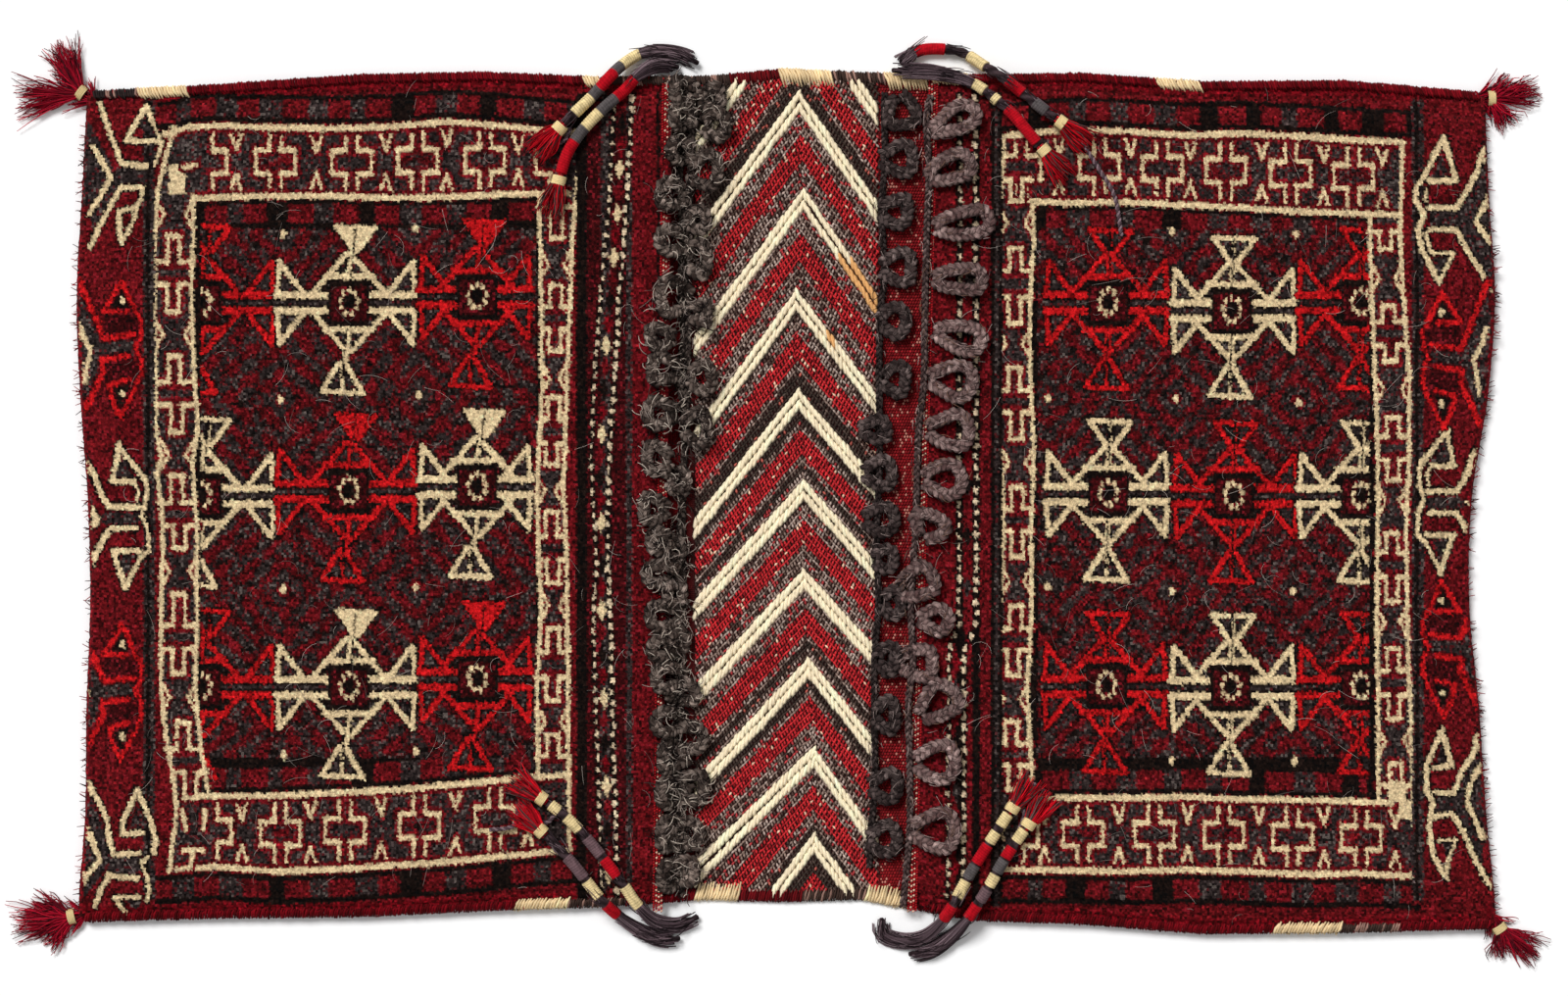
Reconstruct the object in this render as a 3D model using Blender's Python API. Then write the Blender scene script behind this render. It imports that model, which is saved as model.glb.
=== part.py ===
"""Woven double saddle bag, lying flat with its pile faces up.

One long strip of cloth is folded at both ends into two shallow pockets, west and east, with a flat-woven
bridge between their mouths. Overcast bindings close the pocket sides, braided hair loops run along the
mouths and the bridge, wrapped cords with tassels hang from the four mouth corners, and a tuft marks each
outer corner. Coloured pile figures and the bridge's chevrons stand a little proud of the cloth.

Metres, +Z up, +X east along the bag, +Y north across it. The origin is the middle of the underside.
"""

import math

import bmesh
import bpy
from mathutils import Vector

# The folded strip
BAG_LENGTH = 1.149
BAG_WIDTH = 0.690
KILIM = 0.003
PILE = 0.0065
BRIDGE = 0.0048
POCKET_GAP = 0.008
MOUTH_GAP = 0.0055
FOLD_GAP = 0.0036
SEAM_GAP = 0.0006
ROLL = 0.030
FOLD_STEPS = 5

# The mouths and the bridge: x where each crosses the north and the south edge
MOUTH_NORTH = {-1: -0.092, 1: 0.119}
MOUTH_SOUTH = {-1: -0.100, 1: 0.101}
BRIDGE_WEST = -0.074
BRIDGE_EAST = 0.075
BRIDGE_STEP = 0.001

# How far each edge stands outside its straight line, in metres. The north and south edges run straight from
# knot to knot; the knots lie at these distances either side of the middle, and the last is at the fold.
EDGE_KNOTS = (0.062, 0.155, 0.245, 0.345, 0.460)
NORTH_WAVE = (
    -0.017, -0.011, -0.003, -0.001, -0.005, -0.004, 0.002, -0.001, -0.003, -0.002, -0.009, -0.008, -0.018,
)
SOUTH_WAVE = (
    -0.003, -0.006, -0.007, -0.012, -0.015, -0.021, -0.019, -0.021, -0.004, -0.001, 0.007, 0.006, 0.003,
)
WEST_WAVE = (0.004, -0.002, -0.003, -0.006, -0.004, 0.002, 0.005, 0.001, -0.003)
EAST_WAVE = (0.009, 0.001, -0.005, -0.013, -0.011, 0.002, 0.008, 0.003, 0.0)

# Clearance between pieces that touch on the real bag
SEAT = 0.0003

# Overcast binding along the north and south edges
BINDING_WIDTH = 0.0055
BINDING_STEPS = 3
BINDING_SIDES = 8

# Braided loops along the mouths and the bridge. Each row has its south and north end, how far its loops stand
# out there, and its number of loops.
BRAID_WIDTH = 0.0100
BRAID_HEIGHT = 0.0080
BRAID_SIDES = 6
LOOP_HALF_WIDTH = 0.0105
MOUTH_SETBACK = 0.006
WEST_BRIDGE_SETBACK = 0.003
EAST_BRIDGE_OVERHANG = 0.001
WEST_FRONT_ROW = {"ends": (-0.322, 0.328), "reach": (0.017, 0.019), "loops": 16}
WEST_BRIDGE_ROW = {"ends": (-0.302, 0.326), "reach": (0.016, 0.025), "loops": 14}
EAST_BRIDGE_ROW = {"ends": (-0.300, 0.326), "reach": (0.013, 0.025), "loops": 14}
EAST_FRONT_ROW = {"ends": (-0.300, 0.325), "reach": (0.031, 0.038), "loops": 14}

# Pile figures on each pocket, measured from the pocket's fold line
FIGURE_RISE = 0.0010
FRAME_CELL = 0.0050
FRAME_FROM_FOLD = 0.060
FRAME_COLUMNS = 68
FRAME_ROWS = 122
WIDE_BORDER = 11
OUTER_BORDER = 7
MOUTH_BORDER = 6
STAR_COLUMNS = {-1: (0.110, 0.219, 0.324), 1: (0.104, 0.2075, 0.312)}
STAR_PITCH = 0.156
STAR_CUT = 0.002

# A star's quarter: flare, neck, shoulder, wrist and fin tip, each as x and y from the star's centre
STAR_FLARE = (0.018, 0.070)
STAR_NECK = (0.004, 0.041)
STAR_SHOULDER = (0.017, 0.022)
STAR_WRIST = (0.030, 0.007)
STAR_FIN = 0.031
STAR_ARM = 0.0515
STAR_MOUTH_ARM = {-1: 0.040, 1: 0.0515}
STAR_EYE = (0.012, 0.016)

# Chevrons on the bridge
CHEVRON_COUNT = 9
CHEVRON_PITCH = 0.076
CHEVRON_SPINE = 0.015
CHEVRON_BAND = 0.018
CHEVRON_SLOPE_NORTH = 1.38
CHEVRON_SLOPE_SOUTH = 1.05
CHEVRON_FIRST = 0.330
RIB_RISE = 0.0006
EDGE_MARGIN = 0.008

# Wrapped cords and their tassels
CORD_DIAMETER = 0.0085
CORD_STEP = 0.018
TASSEL_LENGTH = 0.036
TASSEL_WIDTH = 0.018
TASSEL_HEIGHT = 0.0110
TASSEL_SIDES = 8
TUFT_LENGTH = 0.052
TUFT_WIDTH = 0.022
TUFT_HEIGHT = 0.0090

CORD_ROUTES = {
    "cord_northwest_upper": [
        (-0.0700, 0.3560), (-0.0800, 0.3620), (-0.0950, 0.3660), (-0.1120, 0.3655), (-0.1260, 0.3600),
        (-0.1370, 0.3490), (-0.1470, 0.3380), (-0.1570, 0.3270), (-0.1680, 0.3160), (-0.1790, 0.3050),
    ],
    "cord_northwest_lower": [
        (-0.0860, 0.3530), (-0.0980, 0.3555), (-0.1090, 0.3520), (-0.1210, 0.3430), (-0.1300, 0.3330),
        (-0.1400, 0.3240), (-0.1510, 0.3140), (-0.1620, 0.3020), (-0.1720, 0.2890), (-0.1790, 0.2750),
        (-0.1820, 0.2640),
    ],
    "cord_northeast_upper": [
        (0.0950, 0.3560), (0.1020, 0.3630), (0.1130, 0.3670), (0.1300, 0.3680), (0.1450, 0.3655),
        (0.1570, 0.3580), (0.1690, 0.3490), (0.1820, 0.3400), (0.1950, 0.3300), (0.2080, 0.3190),
        (0.2210, 0.3090),
    ],
    "cord_northeast_lower": [
        (0.0880, 0.3500), (0.1020, 0.3490), (0.1180, 0.3480), (0.1340, 0.3450), (0.1500, 0.3410),
        (0.1640, 0.3320), (0.1760, 0.3220), (0.1880, 0.3110), (0.1980, 0.2990), (0.2080, 0.2870),
    ],
    "cord_southwest_upper": [
        (-0.0700, -0.3430), (-0.0810, -0.3490), (-0.0960, -0.3500), (-0.1090, -0.3440), (-0.1190, -0.3330),
        (-0.1280, -0.3200), (-0.1370, -0.3070), (-0.1470, -0.2940), (-0.1580, -0.2810), (-0.1690, -0.2680),
        (-0.1810, -0.2570), (-0.1930, -0.2480),
    ],
    "cord_southwest_lower": [
        (-0.0850, -0.3610), (-0.1000, -0.3620), (-0.1150, -0.3560), (-0.1290, -0.3470), (-0.1410, -0.3360),
        (-0.1520, -0.3240), (-0.1620, -0.3110), (-0.1720, -0.2980), (-0.1830, -0.2860), (-0.1940, -0.2750),
    ],
    "cord_southeast_upper": [
        (0.0800, -0.3440), (0.0760, -0.3520), (0.0860, -0.3600), (0.1000, -0.3635), (0.1130, -0.3610),
        (0.1240, -0.3520), (0.1330, -0.3390), (0.1410, -0.3250), (0.1490, -0.3110), (0.1570, -0.2970),
        (0.1660, -0.2830), (0.1750, -0.2690), (0.1830, -0.2570),
    ],
    "cord_southeast_lower": [
        (0.1020, -0.3740), (0.1180, -0.3720), (0.1320, -0.3640), (0.1430, -0.3520), (0.1530, -0.3390),
        (0.1620, -0.3250), (0.1700, -0.3110), (0.1780, -0.2970), (0.1870, -0.2830), (0.1960, -0.2700),
    ],
}

MADDER = (0.23, 0.02, 0.03)
SCARLET = (0.52, 0.02, 0.02)
CREAM = (0.78, 0.68, 0.48)
HAIR = (0.09, 0.07, 0.07)
UMBER = (0.16, 0.11, 0.09)


def clear_scene():
    for obj in list(bpy.data.objects):
        bpy.data.objects.remove(obj)


def material(name, colour):
    """A wool or hair finish: one base colour, fully rough, not metallic."""
    made = bpy.data.materials.get(name)
    if made is None:
        made = bpy.data.materials.new(name)
        made.use_nodes = True
        shader = made.node_tree.nodes["Principled BSDF"]
        shader.inputs["Base Color"].default_value = (*colour, 1.0)
        shader.inputs["Roughness"].default_value = 0.9
        shader.inputs["Metallic"].default_value = 0.0
    return made


def mesh_object(name, points, faces, finish):
    mesh = bpy.data.meshes.new(name)
    mesh.from_pydata([tuple(p) for p in points], [], faces)
    mesh.materials.append(finish)
    mesh.update()
    obj = bpy.data.objects.new(name, mesh)
    bpy.context.scene.collection.objects.link(obj)
    return obj


def smooth_step(value):
    value = max(0.0, min(1.0, value))
    return value * value * (3 - 2 * value)


def catmull_rom(values, share):
    """The smooth curve through evenly spaced values, read at a share from 0 to 1 of its length."""
    place = max(0.0, min(1.0, share)) * (len(values) - 1)
    i = min(int(place), len(values) - 2)
    f = place - i
    before = values[max(i - 1, 0)]
    start = values[i]
    end = values[i + 1]
    after = values[min(i + 2, len(values) - 1)]
    cubic = 3 * (start - end) + after - before
    square = 2 * before - 5 * start + 4 * end - after
    return start + 0.5 * f * (end - before + f * (square + f * cubic))


def edge_knots():
    east = [*EDGE_KNOTS, BAG_LENGTH / 2]
    return [-x for x in east[::-1]] + [0.0] + east


def edge_y(x, side):
    """y of the cloth's north (side 1) or south (side -1) edge at x."""
    wave = NORTH_WAVE if side > 0 else SOUTH_WAVE
    knots = edge_knots()
    i = 0
    while i < len(knots) - 2 and x > knots[i + 1]:
        i += 1
    share = (x - knots[i]) / (knots[i + 1] - knots[i])
    return side * (BAG_WIDTH / 2 + wave[i] + (wave[i + 1] - wave[i]) * share)


def fold_x(t, side):
    """x of the west (side -1) or east (side 1) fold, at t from -1 at the south edge to 1 at the north."""
    wave = WEST_WAVE if side < 0 else EAST_WAVE
    return side * (BAG_LENGTH / 2 + catmull_rom(wave, 0.5 + t / 2))


def mouth_x(t, side):
    """x of the pocket's mouth edge."""
    return MOUTH_SOUTH[side] + (MOUTH_NORTH[side] - MOUTH_SOUTH[side]) * (0.5 + t / 2)


def cross_y(x, t):
    return edge_y(x, 1) * t if t > 0 else -edge_y(x, -1) * t


def cross_stations():
    """t values across the cloth, close together where the faces roll down to the seams."""
    near = [0.0, 0.006, 0.014, 0.022, ROLL]
    half = [1 - 2 * d / BAG_WIDTH for d in near] + [0.45]
    return [-t for t in half] + [0.0] + half[::-1]


def fold_half_height():
    return (KILIM + FOLD_GAP + PILE) / 2


def crease_x(t, side):
    """x of the centre line that the cloth turns about at a fold."""
    return fold_x(t, side) - side * fold_half_height()


def pocket_gap(x, t, side):
    """Height of the hollow between the back and the pile face."""
    from_fold = abs(x - crease_x(t, side))
    from_mouth = abs(x - mouth_x(t, side))
    from_seam = (1 - abs(t)) * BAG_WIDTH / 2
    along = FOLD_GAP + (POCKET_GAP - FOLD_GAP) * smooth_step(from_fold / ROLL)
    along = min(along, MOUTH_GAP + (POCKET_GAP - MOUTH_GAP) * smooth_step(from_mouth / ROLL))
    return SEAM_GAP + (along - SEAM_GAP) * smooth_step(from_seam / ROLL)


def face_stations(t, side):
    """x stations of a pile face at t, from its mouth edge to its crease."""
    mouth = mouth_x(t, side)
    crease = crease_x(t, side)
    near_mouth = [mouth + side * d for d in (0.0, 0.010, 0.020, ROLL)]
    near_fold = [crease - side * d for d in (ROLL, 0.022, 0.014, 0.006, 0.0)]
    return near_mouth + [side * x for x in EDGE_KNOTS[1:]] + near_fold


def back_stations(t):
    """x and top height of the back and the bridge at t, from the west crease to the east crease."""
    rise = BRIDGE_STEP / 2
    step_up = [(BRIDGE_WEST - rise, KILIM), (BRIDGE_WEST + rise, BRIDGE)]
    step_down = [(BRIDGE_EAST - rise, BRIDGE), (BRIDGE_EAST + rise, KILIM)]
    bridge = [(x, BRIDGE) for x in (-EDGE_KNOTS[0], 0.0, EDGE_KNOTS[0])]
    west = [(-x, KILIM) for x in EDGE_KNOTS[:0:-1]]
    east = [(x, KILIM) for x in EDGE_KNOTS[1:]]
    ends = [(crease_x(t, -1), KILIM), (crease_x(t, 1), KILIM)]
    return ends[:1] + west + step_up + bridge + step_down + east + ends[1:]


def strip_section(t):
    """Outer and inner points of the folded strip at t, in order from the west mouth to the east mouth."""
    pairs = []

    def face(side):
        points = []
        for x in face_stations(t, side):
            y = cross_y(x, t)
            low = KILIM + pocket_gap(x, t, side)
            points.append(((x, y, low + PILE), (x, y, low)))
        return points

    def fold(side, from_top):
        crease = crease_x(t, side)
        gap = pocket_gap(crease, t, side)
        outer = (KILIM + gap + PILE) / 2
        inner = gap / 2
        reach = fold_half_height()
        points = []
        for k in range(1, FOLD_STEPS):
            angle = math.pi * k / FOLD_STEPS
            angle = angle if from_top else math.pi - angle
            x = crease + side * reach * math.sin(angle)
            y = cross_y(crease, t)
            lift = math.cos(angle)
            inner_x = crease + side * inner * math.sin(angle)
            points.append(((x, y, outer + outer * lift), (inner_x, y, KILIM + inner + inner * lift)))
        return points

    pairs += face(-1)
    pairs += fold(-1, True)
    for x, top in back_stations(t):
        y = cross_y(x, t)
        pairs.append(((x, y, 0.0), (x, y, top)))
    pairs += fold(1, False)
    pairs += face(1)[::-1]
    return pairs


def add_woven_cloth():
    """The one strip: pile face, fold, back, bridge, back, fold and pile face."""
    rows = [strip_section(t) for t in cross_stations()]
    count = len(rows[0])
    points = [p for row in rows for pair in row for p in pair]

    def index(row, station, layer):
        return (row * count + station) * 2 + layer

    faces = []
    for r in range(len(rows) - 1):
        for s in range(count - 1):
            for layer in (0, 1):
                quad = [
                    index(r, s, layer), index(r + 1, s, layer),
                    index(r + 1, s + 1, layer), index(r, s + 1, layer),
                ]
                faces.append(quad if layer else quad[::-1])
        for s in (0, count - 1):
            quad = [index(r, s, 0), index(r, s, 1), index(r + 1, s, 1), index(r + 1, s, 0)]
            faces.append(quad if s else quad[::-1])
    for r in (0, len(rows) - 1):
        for s in range(count - 1):
            quad = [index(r, s, 0), index(r, s + 1, 0), index(r, s + 1, 1), index(r, s, 1)]
            faces.append(quad if r else quad[::-1])
    cloth = mesh_object("woven_cloth", points, faces, material("madder_wool", MADDER))
    orient_outward(cloth)
    ribs = add_red_ribs()
    union = cloth.modifiers.new("red_ribs", "BOOLEAN")
    union.operation = "UNION"
    union.solver = "EXACT"
    union.object = ribs
    return cloth


def orient_outward(obj):
    work = bmesh.new()
    work.from_mesh(obj.data)
    bmesh.ops.recalc_face_normals(work, faces=work.faces)
    work.to_mesh(obj.data)
    work.free()


def chevron_outline(apex_y, width, share, inset):
    """A V of one band: apex up, cut off at the bridge's sides and its south edge."""
    slope = CHEVRON_SLOPE_NORTH + (CHEVRON_SLOPE_SOUTH - CHEVRON_SLOPE_NORTH) * share
    floor = edge_y(CHEVRON_SPINE, -1) + EDGE_MARGIN
    west = BRIDGE_WEST + inset
    east = BRIDGE_EAST - inset

    def arm(edge, top):
        run = abs(edge - CHEVRON_SPINE)
        reach = min(run, (top - floor) / slope)
        x = CHEVRON_SPINE + math.copysign(reach, edge - CHEVRON_SPINE)
        return (x, top - slope * reach)

    low = apex_y - width
    outline = [arm(west, low), arm(west, apex_y), (CHEVRON_SPINE, apex_y), arm(east, apex_y), arm(east, low)]
    outline.append((CHEVRON_SPINE, low))
    return outline


def prism(outline, bottom, top):
    """Points and faces of a flat plate with that outline."""
    count = len(outline)
    points = [(x, y, bottom) for x, y in outline] + [(x, y, top) for x, y in outline]
    faces = [list(range(count))[::-1], list(range(count, 2 * count))]
    faces += [[k, (k + 1) % count, count + (k + 1) % count, count + k] for k in range(count)]
    return points, faces


def chevron_apex(k):
    return CHEVRON_FIRST - CHEVRON_PITCH * k


def add_red_ribs():
    """Guide for the woven-in red bands between the cream chevrons: a union adds them to the bridge."""
    points = []
    faces = []
    for k in range(CHEVRON_COUNT - 1):
        apex = chevron_apex(k) - CHEVRON_PITCH * 0.5
        outline = chevron_outline(apex, CHEVRON_BAND, (k + 0.5) / CHEVRON_COUNT, 3 * EDGE_MARGIN / 4)
        more, sides = prism(outline, BRIDGE / 2, BRIDGE + RIB_RISE)
        faces += [[len(points) + v for v in side] for side in sides]
        points += more
    ribs = mesh_object("red_rib_guide", points, faces, material("scarlet_wool", SCARLET))
    orient_outward(ribs)
    ribs.hide_render = True
    ribs.display_type = "WIRE"
    return ribs


def add_cream_chevrons():
    for k in range(CHEVRON_COUNT):
        outline = chevron_outline(chevron_apex(k), CHEVRON_BAND, k / CHEVRON_COUNT, EDGE_MARGIN / 2)
        points, faces = prism(outline, BRIDGE + SEAT, BRIDGE + SEAT + FIGURE_RISE)
        obj = mesh_object(f"bridge_chevron_{k + 1}", points, faces, material("cream_wool", CREAM))
        orient_outward(obj)


def edge_height(x):
    """How thick the cloth's long edge is at x: two layers along a pocket, one along the bridge."""
    layers = KILIM + SEAM_GAP + PILE
    mouth = {-1: MOUTH_NORTH[-1], 1: MOUTH_NORTH[1]}
    if mouth[-1] < x < mouth[1]:
        return BRIDGE
    return layers


def add_binding(name, side):
    """Overcast yarn along one long edge, as one rounded bar that stands beside the cloth."""
    knots = [crease_x(side, -1), *edge_knots()[1:-1], crease_x(side, 1)]
    stations = knots[:1]
    for start, end in zip(knots, knots[1:]):
        stations += [start + (end - start) * k / BINDING_STEPS for k in range(1, BINDING_STEPS + 1)]
    points = []
    for x in stations:
        height = edge_height(x)
        for out, rise in flat_ring(BINDING_SIDES):
            y = edge_y(x, side) + side * (2 * SEAT + BINDING_WIDTH / 2 * (1 + out))
            points.append((x, y, height / 2 * (1 + rise)))
    obj = mesh_object(name, points, tube_faces(len(stations), BINDING_SIDES), material("umber_wool", UMBER))
    orient_outward(obj)


def flat_ring(sides):
    """A regular ring that lies on one flat side and fills -1 to 1 in height."""
    flat = math.cos(math.pi / sides)
    if sides % 4:
        angles = [2 * math.pi * k / sides for k in range(sides)]
        flat = math.sin(2 * math.pi * round(sides / 4) / sides)
    else:
        angles = [2 * math.pi * (k + 0.5) / sides for k in range(sides)]
    return [(min(1.0, max(-1.0, math.cos(a) / flat)), math.sin(a) / flat) for a in angles]


def tube_faces(rings, sides):
    faces = [list(range(sides))[::-1], [(rings - 1) * sides + k for k in range(sides)]]
    for r in range(rings - 1):
        for k in range(sides):
            after = (k + 1) % sides
            faces.append([r * sides + k, r * sides + after, (r + 1) * sides + after, (r + 1) * sides + k])
    return faces


def sweep(name, line, width, height, sides, finish):
    """A tube along a line that lies nearly flat, with an elliptical section."""
    points = []
    for i, place in enumerate(line):
        ahead = line[min(i + 1, len(line) - 1)] - line[max(i - 1, 0)]
        across = Vector((-ahead.y, ahead.x, 0.0)).normalized()
        up = ahead.cross(across).normalized()
        for out, rise in flat_ring(sides):
            points.append(place + across * width / 2 * out + up * height / 2 * rise)
    obj = mesh_object(name, points, tube_faces(len(line), sides), finish)
    orient_outward(obj)
    return obj


def loop_row(name, row, base_x, direction, under):
    """One braid sewn down along a line, with a standing row of open loops.

    base_x(t) gives the line that it is sewn to, and under(x, t) the height of the cloth below.
    """
    lift = SEAT + BRAID_HEIGHT / 2
    leg = BRAID_WIDTH / 2 + SEAT
    bow = LOOP_HALF_WIDTH
    side = [(0.0, leg), (0.25, 0.8 * bow), (0.62, bow), (0.93, 0.62 * bow)]
    shape = side + [(1.0, 0.0)] + [(out, -along) for out, along in side[::-1]]
    south, north = row["ends"]
    pitch = (north - south) / row["loops"]
    line = []
    for k in range(row["loops"]):
        centre = north - pitch * (k + 0.5)
        share = (centre - south) / (north - south)
        reach = row["reach"][0] + (row["reach"][1] - row["reach"][0]) * share
        for out, along in shape:
            y = centre + along
            t = y / (BAG_WIDTH / 2)
            x = base_x(t) + direction * reach * out
            line.append(Vector((x, y, under(x, t) + lift)))
    return sweep(name, line, BRAID_WIDTH, BRAID_HEIGHT, BRAID_SIDES, material("goat_hair", HAIR))


def face_top(x, t, side):
    """Height of the pile face's top near its mouth, taken where it is highest under a braid's width."""
    inward = x + side * BRAID_WIDTH
    return KILIM + pocket_gap(inward, t, side) + PILE


def add_loop_rows():
    def west_front(t):
        return mouth_x(t, -1) - MOUTH_SETBACK

    def west_bridge(t):
        return BRIDGE_WEST + WEST_BRIDGE_SETBACK

    def east_bridge(t):
        return BRIDGE_EAST + EAST_BRIDGE_OVERHANG

    def east_front(t):
        return mouth_x(t, 1) + MOUTH_SETBACK

    proud = BRIDGE + SEAT + FIGURE_RISE
    loop_row("west_front_loops", WEST_FRONT_ROW, west_front, -1, lambda x, t: face_top(x, t, -1))
    loop_row("west_bridge_loops", WEST_BRIDGE_ROW, west_bridge, 1, lambda x, t: proud)
    loop_row("east_bridge_loops", EAST_BRIDGE_ROW, east_bridge, 1, lambda x, t: BRIDGE)
    loop_row("east_front_loops", EAST_FRONT_ROW, east_front, 1, lambda x, t: face_top(x, t, 1))


def figure_floor():
    return KILIM + POCKET_GAP + PILE + SEAT


def star_outline(west_arm, east_arm):
    """The four-armed star: flares north and south, finned arms west and east."""
    def quarter(arm):
        return [STAR_FLARE, STAR_NECK, STAR_SHOULDER, STAR_WRIST, (arm, STAR_FIN)]

    east = quarter(east_arm)
    west = quarter(west_arm)
    outline = east + [(x, -y) for x, y in east[::-1]]
    return outline + [(-x, -y) for x, y in west] + [(-x, y) for x, y in west[::-1]]


def clipped(outline, limit):
    """The outline with what lies beyond x = limit cut away; a negative limit cuts on the west."""
    sign = math.copysign(1, limit)
    kept = []
    for i, start in enumerate(outline):
        end = outline[(i + 1) % len(outline)]
        start_in = sign * start[0] <= abs(limit)
        end_in = sign * end[0] <= abs(limit)
        if start_in:
            kept.append(start)
        if start_in != end_in:
            share = (limit - start[0]) / (end[0] - start[0])
            kept.append((limit, start[1] + (end[1] - start[1]) * share))
    return kept


def add_star(name, x, y, outlines, finish):
    """A raised star plate, from a filled flat curve whose second outline, if any, is its open eye."""
    curve = bpy.data.curves.new(name, "CURVE")
    curve.dimensions = "2D"
    curve.fill_mode = "BOTH"
    curve.extrude = FIGURE_RISE / 2
    for outline in outlines:
        spline = curve.splines.new("POLY")
        spline.points.add(len(outline) - 1)
        for point, (px, py) in zip(spline.points, outline):
            point.co = (px, py, 0.0, 1.0)
        spline.use_cyclic_u = True
    drawn = bpy.data.objects.new(name + "_drawn", curve)
    mesh = bpy.data.meshes.new_from_object(drawn)
    bpy.data.objects.remove(drawn)
    mesh.name = name
    mesh.materials.clear()
    mesh.materials.append(finish)
    plate = bpy.data.objects.new(name, mesh)
    plate.location = (x, y, figure_floor() + FIGURE_RISE / 2)
    bpy.context.scene.collection.objects.link(plate)
    work = bmesh.new()
    work.from_mesh(mesh)
    bmesh.ops.remove_doubles(work, verts=work.verts, dist=1e-6)
    bmesh.ops.recalc_face_normals(work, faces=work.faces)
    work.to_mesh(mesh)
    work.free()


def add_stars(side, label):
    """Three columns by three rows of cream and scarlet stars; the frame cuts the outer column in half."""
    for column, from_fold in enumerate(STAR_COLUMNS[side]):
        x = side * (BAG_LENGTH / 2 - from_fold)
        mouth_arm = STAR_MOUTH_ARM[side] if column == 2 else STAR_ARM
        arms = (STAR_ARM, mouth_arm) if side < 0 else (mouth_arm, STAR_ARM)
        outlines = [star_outline(*arms)]
        if column == 0:
            outlines = [clipped(outlines[0], side * STAR_CUT)]
        else:
            ex, ey = STAR_EYE
            outlines.append([(-ex, -ey), (ex, -ey), (ex, ey), (-ex, ey)])
        for row in range(3):
            cream = (column + row) % 2 == 1
            finish = material("cream_wool", CREAM) if cream else material("scarlet_wool", SCARLET)
            place = ("outer", "middle", "mouth")[column] + "_" + ("north", "centre", "south")[row]
            add_star(f"{label}_star_{place}", x, STAR_PITCH * (1 - row), outlines, finish)


def frame_cells():
    """The cells of the frame's figures, in columns from the fold and rows from the south."""
    cells = set()

    def bar(c0, r0, c1, r1):
        for c in range(min(c0, c1), max(c0, c1) + 1):
            for r in range(min(r0, r1), max(r0, r1) + 1):
                cells.add((c, r))

    last_c = FRAME_COLUMNS - 1
    last_r = FRAME_ROWS - 1
    for r in (0, WIDE_BORDER, last_r - WIDE_BORDER, last_r):
        bar(0, r, last_c, r)
    for c in (0, last_c):
        bar(c, 0, c, last_r)
    for c in (OUTER_BORDER, last_c - MOUTH_BORDER):
        bar(c, WIDE_BORDER, c, last_r - WIDE_BORDER)
    units = 5
    for low in (0, last_r - WIDE_BORDER):
        for k in range(units):
            c = round(last_c * (k + 0.5) / units)
            bar(c, low + 1, c, low + 3)
            bar(c - 3, low + 3, c + 3, low + 3)
            bar(c - 3, low + 8, c + 3, low + 8)
            bar(c - 3, low + 3, c - 3, low + 8)
            bar(c + 3, low + 3, c + 3, low + 8)
            bar(c, low + 8, c, low + WIDE_BORDER)
    pitch = (last_r - 2 * WIDE_BORDER) / 5
    for west, east in ((0, OUTER_BORDER), (last_c - MOUTH_BORDER, last_c)):
        left = west + 2
        right = east - 2
        for k in range(5):
            r = round(WIDE_BORDER + pitch * (k + 0.5))
            for foot, cap in ((r + 1, r + 6), (r - 2, r - 7)):
                bar(west, foot, left, foot)
                bar(right, foot, east, foot)
                bar(left, foot, left, cap)
                bar(right, foot, right, cap)
                bar(left, cap, right, cap)
    return cells


def add_frame(side, label):
    """The cream border frame as one raised lattice, laid out on square cells."""
    cells = frame_cells()
    corner = side * (BAG_LENGTH / 2 - FRAME_FROM_FOLD)
    low = figure_floor()
    corners = {}
    points = []

    def vertex(c, r, top):
        key = (c, r, top)
        if key not in corners:
            corners[key] = len(points)
            y = (r - FRAME_ROWS / 2) * FRAME_CELL
            points.append((corner - side * c * FRAME_CELL, y, low + FIGURE_RISE * top))
        return corners[key]

    faces = []
    for c, r in sorted(cells):
        for top in (0, 1):
            square = ((c, r), (c + 1, r), (c + 1, r + 1), (c, r + 1))
            faces.append([vertex(*place, top) for place in square])
        walls = (
            ((c, r - 1), (c, r), (c + 1, r)), ((c + 1, r), (c + 1, r), (c + 1, r + 1)),
            ((c, r + 1), (c + 1, r + 1), (c, r + 1)), ((c - 1, r), (c, r + 1), (c, r)),
        )
        for neighbour, a, b in walls:
            if neighbour not in cells:
                faces.append([vertex(*a, 0), vertex(*b, 0), vertex(*b, 1), vertex(*a, 1)])
    obj = mesh_object(f"{label}_border_frame", points, faces, material("cream_wool", CREAM))
    orient_outward(obj)


def on_frame(x, y):
    """Whether a point lies on the rectangle that a pocket's raised figures fill."""
    from_fold = BAG_LENGTH / 2 - abs(x)
    across = FRAME_ROWS / 2 * FRAME_CELL
    return FRAME_FROM_FOLD <= from_fold <= FRAME_FROM_FOLD + FRAME_COLUMNS * FRAME_CELL and abs(y) <= across


def support(x, y):
    """Height of what lies under a point: figures, pile, bridge, binding or, beyond the bag, the floor."""
    north = 1 if y > 0 else -1
    beyond = north * (y - edge_y(x, north))
    if beyond > 2 * SEAT + BINDING_WIDTH:
        return 0.0
    if beyond > 0:
        return edge_height(x)
    t = y / abs(edge_y(x, north))
    for side in (-1, 1):
        if side * (x - mouth_x(t, side)) > 0:
            proud = SEAT + FIGURE_RISE if on_frame(x, y) else 0.0
            return KILIM + pocket_gap(x, t, side) + PILE + proud
    return BRIDGE + SEAT + FIGURE_RISE


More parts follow.
